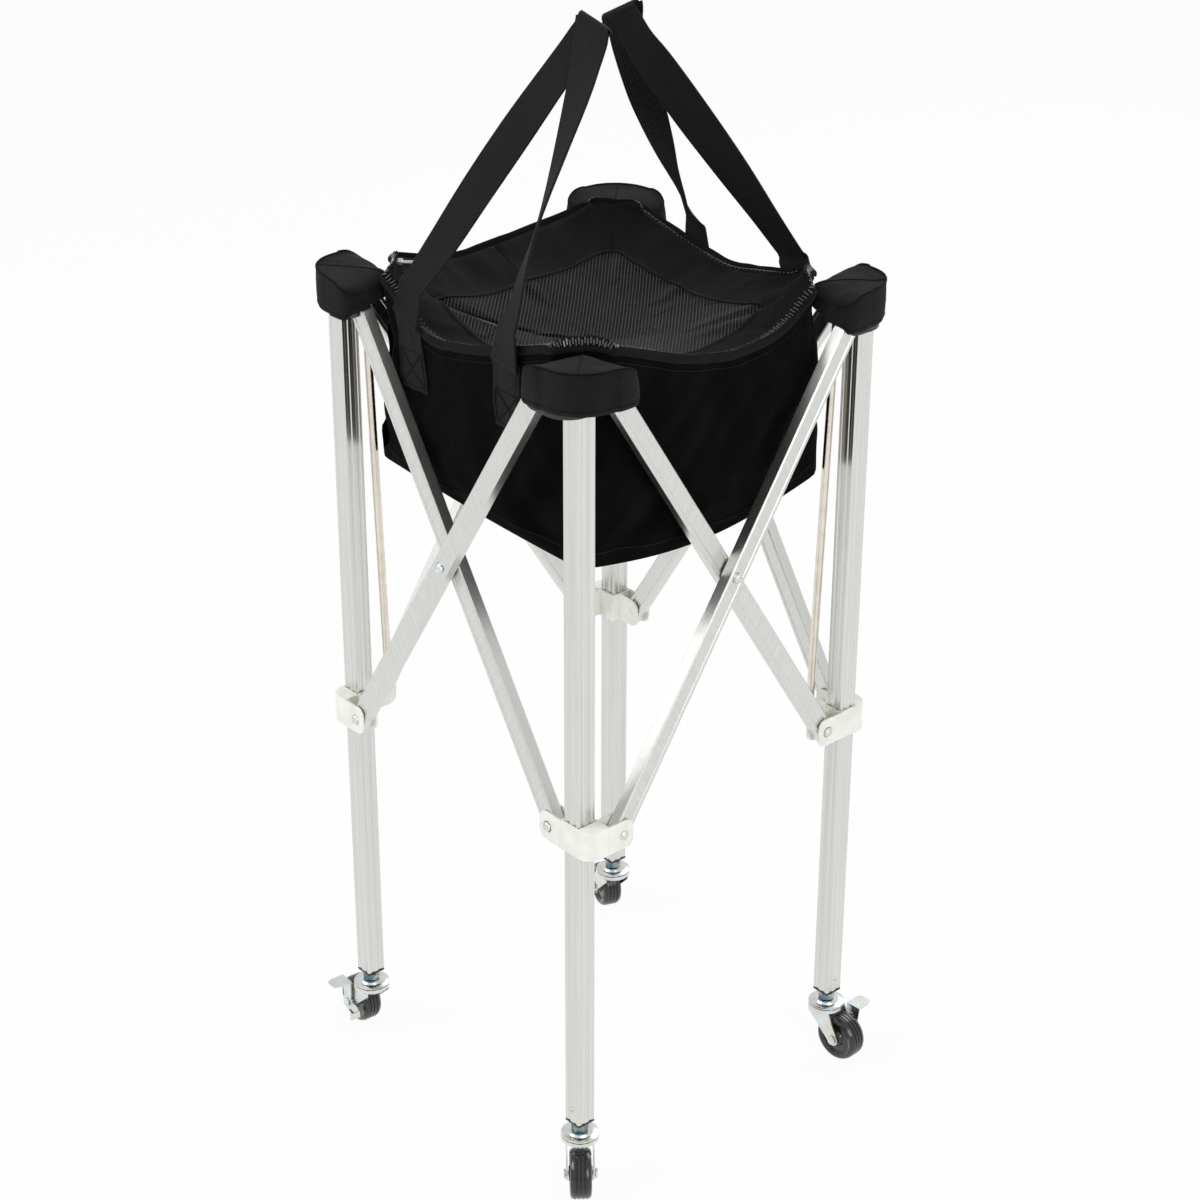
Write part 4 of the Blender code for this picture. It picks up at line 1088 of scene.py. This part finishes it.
class BASKET_OT_rim(bpy.types.Operator):
    """Bind the bag's rim and sew in the zip with its teeth and slider"""

    bl_idname = "basket.rim"
    bl_label = "Rim and zip"

    steps = 60
    binding_lip = 0.0048
    corner_lip_loss = 0.0028
    tooth_length = 0.0058
    tooth_height = 0.0018

    def execute(self, context):
        colour = chosen("cloth")
        cloth = woven("binding_cloth", shade(colour, 0.7))
        tape = woven("zip_tape_cloth", shade(colour, 0.9), 0.0005)
        teeth = moulded("zip_teeth", (0.018, 0.018, 0.020), 0.16, Coat_Weight=0.5, Coat_Roughness=0.08)
        for side in SIDES:
            body = SIDE_BODY[side]
            binding = surface(10, self.steps, self.binding(side), (0.016, 0.31), wrapped=True)
            rim = piece("rim_binding_" + side, binding, cloth, body, "black_cloth", 60, outward=True)
            strips = [surface(5, 60, self.tape(side, *ends), (0.010, 0.31)) for ends in self.ends(side)]
            band = piece("zip_tape_" + side, joined(strips), tape, body, "zip_black", 60)
            thickened(band, 0.0007, 0.0)
            row = piece("zip_teeth_" + side, self.teeth(side, context), teeth, body, "zip_black", 20)
            rounded(row, 0.0003)
            for thing in (rim, band, row):
                folds(thing, side)
            if side == "front":
                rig.replaces(band, "zip_tape")
        self.slider()
        return {"FINISHED"}

    def ends(self, side):
        """The zip runs along the whole of a side, but only round the corners of the hinge side."""
        return ((0.0, 1.0),) if side != "left" else ((0.0, 0.085), (0.915, 1.0))

    def binding(self, side):
        def place(around, along):
            spot = edge_point(side, along, 0.0008)
            lip = self.binding_lip - self.corner_lip_loss * corner_turn(along)
            spot.z = rim_height(side, along) - 0.0034 + lip
            out = (edge_point(side, along, 0.0) - edge_point(side, along, 0.004)).normalized()
            angle = 2 * math.pi * around
            wave = 1 + 0.15 * noise.noise(spot * 60)
            return spot + out * (0.0013 * math.cos(angle) * wave) + Vector((0, 0, lip * math.sin(angle) * wave))

        return place

    def tape(self, side, start, end):
        def place(across, along):
            return zip_line(side, start + (end - start) * along, TAPE_WIDTH * across)

        return place

    def teeth(self, side, context):
        """Two interlocking rows of moulded teeth on the tape's middle line."""
        pitch = context.scene.basket_sizes.tooth_pitch
        row = bmesh.new()
        for start, end in self.ends(side):
            line = [zip_line(side, start + (end - start) * i / 40, ZIP_MIDDLE) for i in range(41)]
            count = int(sum((b - a).length for a, b in zip(line, line[1:])) / pitch)
            for i in range(count):
                share = start + (end - start) * (i + 0.5) / count
                spot = zip_line(side, share, ZIP_MIDDLE)
                along = (zip_line(side, share + 0.002, ZIP_MIDDLE) - spot).normalized()
                across = (spot - zip_line(side, share, ZIP_MIDDLE + 0.002)).normalized()
                across = (across - along * across.dot(along)).normalized()
                up = along.cross(across)
                up *= math.copysign(1, up.z)
                shift = 0.0007 if i % 2 else -0.0007
                axes = Matrix((across, along, up)).transposed().to_4x4()
                place = Matrix.Translation(spot + across * shift + up * 0.0012) @ axes
                size = Matrix.Diagonal((self.tooth_length, pitch * 0.58, self.tooth_height, 1))
                bmesh.ops.create_cube(row, size=1.0, matrix=place @ size)
        bmesh.ops.recalc_face_normals(row, faces=row.faces)
        return row

    def slider(self):
        """The zip's slider and its pull, where the zip ends beside corner L."""
        metal = plated_metal("zip_slider_metal", (0.45, 0.45, 0.46), 0.22)
        redressed("zip_pull", metal, 0.0006, 3)


class BASKET_OT_lid(bpy.types.Operator):
    """Drape the lid: its cloth frame, hemmed window, mitred seams and net"""

    bl_idname = "basket.lid"
    bl_label = "Lid"

    columns = 128
    border_rows = 12
    window_rows = 16
    line_steps = 240

    def execute(self, context):
        sizes = context.scene.basket_sizes
        cloth = woven("lid_cloth", shade(chosen("cloth"), 0.5))
        thread = net_thread("net_thread", chosen("net"))
        rows = self.border_rows + self.window_rows
        bm = surface(self.columns, rows, self.place, (1.10, 0.15), wrapped=True)
        lid = settled("lid_pattern", bm, self.held, 20, sizes.lid_slack)
        under = BVHTree.FromBMesh(lid)
        border = lid.copy()
        inside = [face for face in border.faces if self.in_window(face.calc_center_median())]
        bmesh.ops.delete(border, geom=inside, context="FACES")
        net = self.net(under, sizes.net_cells)
        for half, body, sign in (("front", "lid", 1), ("back", LID_BACK_BODY, -1)):
            cut = [((0, 0, 0), (0, sign, 0))]
            frame_half = piece("lid_frame_" + half, kept_part(border, cut), cloth, body, "black_cloth", 50)
            frame_area = area_of(frame_half)
            thickened(frame_half, CLOTH)
            hem = piece("window_hem_" + half, self.hem(under, sign), cloth, body, "black_cloth", 60)
            seams = piece("mitre_seams_" + half, self.mitres(under, sign), cloth, body, "black_cloth", 60)
            net_half = net.copy()
            away = [face for face in net_half.faces if face.calc_center_median().y * sign > 0]
            bmesh.ops.delete(net_half, geom=away, context="FACES")
            window = piece("lid_net_" + half, net_half, thread, body, "black_net", 60)
            wires = window.modifiers.new("threads", "WIREFRAME")
            wires.thickness = sizes.net_thread
            wires.use_even_offset = False
            for thing in (frame_half, hem, seams, window):
                folds(thing, half)
            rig.sheet(
                frame_half,
                flat=(0.31, 0.16),
                held="hung",
                area=round(frame_area, 3),
                with_pieces=[window, hem, seams],
            )
            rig.replaces(*((frame_half, "lid_border") if half == "front" else (window, "lid_mesh")))
        for left in (lid, border, net):
            left.free()
        return {"FINISHED"}

    def in_window(self, point):
        return max(abs(point.x), abs(point.y)) < WINDOW_HALF + 0.001

    def held(self, inward):
        return 1.0 if inward < 1e-4 else 0.0

    def place(self, around, inward):
        side, share = side_and_share(around)
        border = self.border_rows / (self.border_rows + self.window_rows)
        outer = zip_line(side, share, LID_SEWN if side != "left" else LID_HINGED)
        window = window_point(side, share)
        if inward < border:
            part = inward / border
            spot = outer.lerp(window, part)
            dip = BORDER_SHARE * part
        else:
            part = (inward - border) / (1 - border)
            spot = window * (1 - part)
            dip = BORDER_SHARE + (1 - BORDER_SHARE) * part
        spot.z = LID_RIM_Z + (LID_CENTRE_Z - LID_RIM_Z) * dip**0.6 + (outer.z - LID_RIM_Z) * (1 - inward) ** 2.2
        spot.z += 0.0022 * noise.noise(Vector((spot.x * 20, spot.y * 20, 7.0))) * min(1.0, dip * 6)
        return spot

    def drop(self, under, x, y, lift=0.0):
        hit = under.ray_cast(Vector((x, y, 1.0)), Vector((0, 0, -1)))[0]
        return Vector((x, y, (hit.z if hit else LID_CENTRE_Z) + lift))

    def net(self, under, cells):
        """A diamond net: a square grid poked through, with its straight threads taken out."""
        bm = bmesh.new()
        bmesh.ops.create_grid(bm, x_segments=cells, y_segments=cells, size=WINDOW_HALF + 0.002)
        straight = [edge for edge in bm.edges if not edge.is_boundary]
        bmesh.ops.poke(bm, faces=bm.faces)
        bmesh.ops.dissolve_edges(bm, edges=straight, use_verts=False)
        for vert in bm.verts:
            vert.co = self.drop(under, vert.co.x, vert.co.y, -0.0010)
        return bm

    def hem(self, under, sign):
        """The turned hem round half of the window."""
        line = []
        for step in range(self.line_steps):
            spot = window_point(*side_and_share(step / self.line_steps), WINDOW_HALF + 0.0015)
            line.append(self.drop(under, spot.x, spot.y, 0.0002))
        chosen = {i for i, spot in enumerate(line) if spot.y * sign <= 0.0004}
        first = next(i for i in chosen if (i - 1) % self.line_steps not in chosen)
        run = [line[(first + step) % self.line_steps] for step in range(len(chosen))]
        return tube(run, 0.0030, 0.0007)

    def mitres(self, under, sign):
        """The seams from the window's corners to the rim, two on each half."""
        strips = []
        for corner in ("f", "l") if sign > 0 else ("r", "b"):
            away = corner_spot(corner).normalized()
            start = away * (WINDOW_HALF * math.sqrt(2) - 0.003)
            end = away * (HALF * math.sqrt(2) - BAG_ARC - 0.011)
            spots = [start.lerp(end, step / 12) for step in range(13)]
            strips.append(tube([self.drop(under, spot.x, spot.y, 0.0003) for spot in spots], 0.0016, 0.0006))
        return joined(strips)


class BASKET_OT_pockets(bpy.types.Operator):
    """Make the padded cloth caps over the leg tops, with their seams and the elastic loop at one corner"""

    bl_idname = "basket.pockets"
    bl_label = "Corner pockets"

    columns = 112
    rows = 40
    band_share = 0.5
    hem_end = 0.0500
    top_end = 0.0440
    end_droop = 0.0090
    band_top_z = 0.8585
    inner_edge_z = 0.8490
    crown_z = 0.8566
    corner_softness = 9
    sunk = {"f": 0.0, "r": 0.002, "b": 0.008, "l": 0.007}
    bracket_gap = 0.0025
    inner_gap = 0.0006
    end_taper = 0.007

    def execute(self, context):
        colour = chosen("cloth")
        # The pockets take the cloth colour a quarter brighter: painted light on their upturned tops, beside the darker
        # copy on the bag's walls.
        cloth = woven("pocket_cloth", shade(colour, 1.25))
        dark = woven("pocket_seam", shade(colour, 0.35), 0.0004)
        for index, corner in enumerate(CORNERS):
            self.turn = Matrix.Rotation(QUARTER * index, 4, "Z") @ Matrix.Translation((HALF, -HALF, 0))
            self.seed = index * 5.0
            bracket_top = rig.box("top_bracket_" + corner)[1][2]
            self.low = min(self.sunk[corner], self.crown_z - bracket_top - self.bracket_gap)
            body = "leg_" + corner
            shape = surface(self.columns, self.rows, self.place, (0.24, 0.10), wrapped=True)
            cap = piece("pocket_" + corner, shape, cloth, body, "black_cloth", 60, outward=True)
            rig.replaces(cap, "corner_pocket_" + corner)
            thickened(cap, CLOTH)
            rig.padded(cap, fill=0.5)
            lines = (
                ("piping", self.line(self.band_share, 0.17, 0.83), 0.0009),
                ("hem_stitch", self.line(0.06, 0.20, 0.80), 0.0005),
                ("crown_seam", self.crown_line(), 0.0008),
            )
            for name, line, radius in lines:
                seam = tube([self.turn @ spot for spot in line], radius, radius)
                piece(f"pocket_{name}_{corner}", seam, dark, body, "black_cloth", 60, outward=True)
        self.elastic_loop(dark)
        return {"FINISHED"}

    def outline(self, around, inset, end):
        """Plan of the cap at corner F, about the leg's axis, and its hem's share of the lift there."""
        out = POCKET_OUT - inset
        angle = 2 * math.pi * around + math.radians(135)
        direction = Vector((math.cos(angle), math.sin(angle)))
        limits = [0.060]
        if direction.x > 1e-6:
            limits.append(out / direction.x)
        if direction.x < -1e-6:
            limits.append((end - inset) / -direction.x)
        if direction.y < -1e-6:
            limits.append(out / -direction.y)
        if direction.y > 1e-6:
            limits.append((end - inset) / direction.y)
        if direction.x < 0 < direction.y:
            turned = min(1.0, 3 * min(direction.y, -direction.x))
            round_end = POCKET_ARC - self.inner_gap
            limits.append(round_end - inset + (1 - turned) * (end - round_end))
        middle = Vector((POCKET_OUT - POCKET_ROUND, POCKET_ROUND - POCKET_OUT))
        along = direction.dot(middle)
        curve = along + math.sqrt(max(0.0, along**2 - middle.length_squared + (POCKET_ROUND - inset) ** 2))
        spot = direction * curve
        if spot.x > middle.x and spot.y < middle.y:
            limits.append(curve)
        power = self.corner_softness
        reach = sum(limit**-power for limit in limits) ** (-1 / power)
        spot = direction * reach
        near_end = max(1 - (spot.x + end) / self.end_taper, 1 - (end - spot.y) / self.end_taper)
        lift = 1.0 if direction.x < 0 < direction.y else max(0.0, min(1.0, near_end))
        return spot, lift

    def edge_height(self, spot):
        """Height of the crown's edge, which falls towards the bag."""
        inward = (spot.y - spot.x) / (math.sqrt(2) * POCKET_ARC)
        share = max(0.0, min(1.0, inward * 1.3))
        end = max(0.0, min(1.0, (max(-spot.x, spot.y) / self.top_end - 0.45) / 0.55))
        level = self.band_top_z + (self.inner_edge_z - self.band_top_z) * share
        return level - self.end_droop * end**2 - self.low

    def place(self, around, up):
        """Hem, band and crown, from the open underside to the middle of the top."""
        if up < self.band_share:
            level = up / self.band_share
            end = self.hem_end + (self.top_end - self.hem_end) * level
            bulge = -0.0006 * math.sin(math.pi * level) + 0.0012 * (1 - level) ** 12
            spot, lift = self.outline(around, bulge, end)
            low = POCKET_LOW + 0.0006 + HEM_LIFT * lift
            z = low + (self.edge_height(spot) - low) * level
            lifted = 0.0
        else:
            level = (up - self.band_share) / (1 - self.band_share)
            spot, _ = self.outline(around, 0.0003, self.top_end)
            edge = self.edge_height(spot)
            spot *= math.cos(level * QUARTER) if level < 1 else 0.0
            z = edge + (self.crown_z - self.low - edge) * math.sin(level * QUARTER) ** 0.9
            wrinkle = noise.noise(Vector((spot.x * 60, spot.y * 60, self.seed + 2)))
            lifted = 0.0014 * wrinkle * math.sin(math.pi * level)
        crease = noise.noise(Vector((spot.x * 50, spot.y * 50, z * 45 + self.seed)))
        fine = noise.noise(Vector((spot.x * 120, spot.y * 120, z * 130 + self.seed)))
        puff = 1 + 0.012 * crease + 0.005 * fine if level < 1 or up < self.band_share else 1
        return Vector(self.turn @ Vector((spot.x * puff, spot.y * puff, z + lifted)))

    def line(self, up, start, end):
        """Points on the cap's surface at one height, over its outer faces."""
        back = self.turn.inverted()
        return [back @ self.place(start + (end - start) * i / 70, up) for i in range(71)]

    def crown_line(self):
        """The seam over the crown, from the middle of the outer face towards the bag."""
        back = self.turn.inverted()
        outer = [back @ self.place(0.5, 1 - (1 - self.band_share) * (1 - i / 14)) for i in range(15)]
        inner = [back @ self.place(0.0, 1 - (1 - self.band_share) * i / 14) for i in range(1, 13)]
        return outer + inner

    def elastic_loop(self, finish):
        """A short loop of elastic that hangs under the cap at corner F."""
        line = []
        for step in range(25):
            angle = math.pi * (1.08 * step / 24 - 0.04)
            line.append(Vector((0.1305 - 0.0058 * math.cos(angle), -0.187, 0.8215 - 0.0125 * math.sin(angle))))
        piece("elastic_loop", tube(line, 0.0012, 0.0012), finish, "leg_f", "black_cloth", 60, outward=True)


class BASKET_OT_handles(bpy.types.Operator):
    """Stand the two ribbed webbing handles up and stitch their ends to the bag's walls"""

    bl_idname = "basket.handles"
    bl_label = "Handles"

    foot_out = -0.0076
    limb_steps = 70
    fold_steps = 10
    fold_reach = 0.042
    front_rise = [
        (0.824, -0.084, -3), (0.858, -0.0728, -8), (0.90, -0.0549, 2), (0.95, -0.0363, 8),
        (1.0, -0.0159, 9), (1.05, 0.0059, 2), (1.08, 0.0205, 0), (1.0985, 0.0325, 0),
    ]  # fmt: skip
    front_fall = [
        (0.822, 0.0595, -3), (0.858, 0.0640, -18), (0.88, 0.0630, -29), (0.90, 0.0597, -34),
        (0.93, 0.0571, -42), (0.96, 0.0549, -39), (1.0, 0.0519, -27), (1.05, 0.0468, -9),
        (1.08, 0.0405, 0), (1.0985, 0.0345, 0),
    ]  # fmt: skip
    rear_rise = [
        (0.828, -0.0418, -5), (0.858, -0.0457, -16), (0.88, -0.0478, -31), (0.90, -0.0466, -24),
        (0.93, -0.0433, -11), (0.96, -0.0361, 3), (1.0, -0.0266, 16), (1.05, -0.0143, 14),
        (1.08, -0.0035, 5), (1.0960, 0.0045, 0),
    ]  # fmt: skip
    rear_fall = [
        (0.834, 0.1000, 0), (0.858, 0.0882, 3), (0.90, 0.0746, 10), (0.95, 0.0582, 24),
        (1.0, 0.0400, 32), (1.05, 0.0228, 28), (1.08, 0.0125, 10), (1.0960, 0.0065, 0),
    ]  # fmt: skip

    def execute(self, context):
        self.ribs = context.scene.basket_sizes.ribs
        colour = chosen("webbing")
        finish = ribbed_webbing("webbing", colour)
        stitch = woven("handle_stitch", shade(colour, 1.6), 0.0004)
        self.handle("front", finish, -1, -0.032, self.front_rise, self.front_fall, Vector((0.972, 0, -0.233)))
        self.handle("rear", finish, 1, 0.022, self.rear_rise, self.rear_fall, Vector((0.845, 0.25, 0.473)))
        for name, sign, feet in (("front", -1, (-0.084, 0.0590)), ("rear", 1, (-0.0418, 0.0990))):
            for which, x, lean in (("low", feet[0], 0.20 if sign < 0 else 0.0), ("high", feet[1], 0.0)):
                self.tail(f"{name}_{which}", finish, stitch, sign, x, lean)
        return {"FINISHED"}

    def limb(self, points, foot_y, apex_y, apex_z, in_front):
        """Centre points up one limb, each with its twist."""
        line = []
        for z, x, twist in smooth_path(points, self.limb_steps):
            share = max(0.0, (z - LEAN_START_Z) / (apex_z - LEAN_START_Z))
            line.append((Vector((x, foot_y + (apex_y - foot_y - in_front) * share, z)), math.radians(twist)))
        return line

    def handle(self, name, finish, sign, apex_y, rise, fall, fold_line):
        foot_y = sign * (HALF + self.foot_out)
        apex_z = rise[-1][0]
        fold_out = Vector((0, -1, 0))
        rows = self.limb_rows(self.limb(rise, foot_y, apex_y, apex_z, 0.0), fold_line)
        falling = self.limb_rows(self.limb(fall, foot_y, apex_y, apex_z, 2 * STRAP_FOLD), fold_line)
        start, end = rows[-1][0], falling[-1][0]
        for step in range(1, self.fold_steps):
            turn = math.pi * step / self.fold_steps
            centre = start.lerp(end, 0.5 - 0.5 * math.cos(turn))
            lift = Vector((0, 0, STRAP_FOLD * math.sin(turn)))
            normal = fold_out * math.cos(turn) * -1 + Vector((0, 0, math.sin(turn)))
            rows.append((centre + lift, fold_line * (STRAP_WIDTH / 2), normal))
        rows += [(centre, across, -normal) for centre, across, normal in reversed(falling)]
        self.rows = rows
        length = sum((b[0] - a[0]).length for a, b in zip(rows, rows[1:]))
        shape = surface(self.ribs * 4, len(rows) - 1, self.place, (STRAP_WIDTH, length))
        strap = piece("strap_" + name, shape, finish, "handle_" + name, "webbing", 60)
        thickened(strap, 0.0020, 0.0)
        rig.replaces(strap, "handle_" + name)
        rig.sheet(strap, flat=(STRAP_WIDTH, round(length, 3)), held="folded")
        folds(strap, "front" if sign < 0 else "back")

    def limb_rows(self, line, fold_line):
        """For each centre point its row, from the middle to the strap's edge, and its face's direction."""
        rows = []
        top = line[-1][0]
        for i, (centre, twist) in enumerate(line):
            ahead = (line[min(len(line) - 1, i + 1)][0] - line[max(0, i - 1)][0]).normalized()
            across = Vector((1, 0, 0))
            across = (across - ahead * across.dot(ahead)).normalized()
            across = Matrix.Rotation(twist, 3, ahead) @ across
            near = max(0.0, 1 - (top - centre).length / self.fold_reach)
            near = near * near * (3 - 2 * near)
            across = across.lerp(fold_line, near).normalized()
            normal = ahead.cross(across).normalized()
            stretch = 1 / across.cross(ahead).length
            rows.append((centre, across * (STRAP_WIDTH / 2 * stretch), normal))
        return rows

    def place(self, across, along):
        centre, half, normal = self.rows[round(along * (len(self.rows) - 1))]
        rib = 0.00025 * math.cos(2 * math.pi * self.ribs * across)
        return centre + half * (2 * across - 1) + normal * rib

    def tail(self, name, finish, stitch, sign, x, lean):
        """The end of a limb, sewn flat down the outside of the bag's wall with a boxed cross of stitches."""
        side = "front" if sign < 0 else "back"
        length = 0.066

        def on_wall(across, along, rise):
            spot_x = x + (across - 0.5) * STRAP_WIDTH + lean * length * along
            spot_z = 0.826 - length * along
            hit = SETTLED["bag"].ray_cast(Vector((spot_x, sign * 0.30, spot_z)), Vector((0, -sign, 0)))[0]
            return Vector((spot_x, sign * (abs(hit.y if hit else BAG_HALF) + rise), spot_z))

        def place(across, along):
            return on_wall(across, along, 0.0016 + 0.00022 * math.cos(2 * math.pi * self.ribs * across))

        shape = surface(self.ribs * 4, 24, place, (STRAP_WIDTH, length))
        tail = piece("strap_tail_" + name, shape, finish, SIDE_BODY[side], "webbing", 60)
        thickened(tail, 0.0014, 0.0)
        folds(tail, side)
        corners = [(0.08, 0.45), (0.92, 0.45), (0.92, 0.95), (0.08, 0.95), (0.08, 0.45), (0.92, 0.95)]
        strips = []
        for here, after in list(zip(corners, corners[1:])) + [((0.92, 0.45), (0.08, 0.95))]:
            spots = []
            for step in range(13):
                part = step / 12
                spots.append(on_wall(*[a + (b - a) * part for a, b in zip(here, after)], 0.0028))
            strips.append(tube(spots, 0.0004, 0.0004, 6))
        folds(piece("tail_stitch_" + name, joined(strips), stitch, SIDE_BODY[side], "webbing", 60), side)


class BASKET_PT_panel(bpy.types.Panel):
    """Lists the pieces that dress the basket's frame"""

    bl_label = "Ball basket"
    bl_space_type = "VIEW_3D"
    bl_region_type = "UI"
    bl_category = "Basket"

    def draw(self, context):
        for settings in (context.scene.basket_sizes, context.scene.basket_colours):
            for name in settings.bl_rna.properties.keys():
                if name not in ("rna_type", "name"):
                    self.layout.prop(settings, name)
        for step in STEPS:
            self.layout.operator(step.bl_idname)


LID_BACK_BODY = "lid_net" if "lid_net" in frame["bodies"] else "lid"
STEPS = [
    BASKET_OT_stage,
    BASKET_OT_frame_finish,
    BASKET_OT_bolts,
    BASKET_OT_casters,
    BASKET_OT_bag,
    BASKET_OT_rim,
    BASKET_OT_lid,
    BASKET_OT_pockets,
    BASKET_OT_handles,
]
CLASSES = [BasketSizes, BasketColours, *STEPS, BASKET_PT_panel]


def register():
    for each in CLASSES:
        bpy.utils.register_class(each)
    bpy.types.Scene.basket_sizes = PointerProperty(type=BasketSizes)
    bpy.types.Scene.basket_colours = PointerProperty(type=BasketColours)


def unregister():
    del bpy.types.Scene.basket_colours
    del bpy.types.Scene.basket_sizes
    for each in reversed(CLASSES):
        bpy.utils.unregister_class(each)


def main():
    register()
    bpy.ops.basket.stage()
    bpy.ops.basket.frame_finish()
    bpy.ops.basket.bolts()
    bpy.ops.basket.casters()
    bpy.ops.basket.bag()
    bpy.ops.basket.rim()
    bpy.ops.basket.lid()
    bpy.ops.basket.pockets()
    bpy.ops.basket.handles()
    boxes = {"cad": CAD_BOX, "visual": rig.bounds()}
    plain = {name: [[float(value) for value in corner] for corner in box] for name, box in boxes.items()}
    with open("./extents.json", "w") as out:
        json.dump(plain, out)


if __name__ == "__main__":
    main()
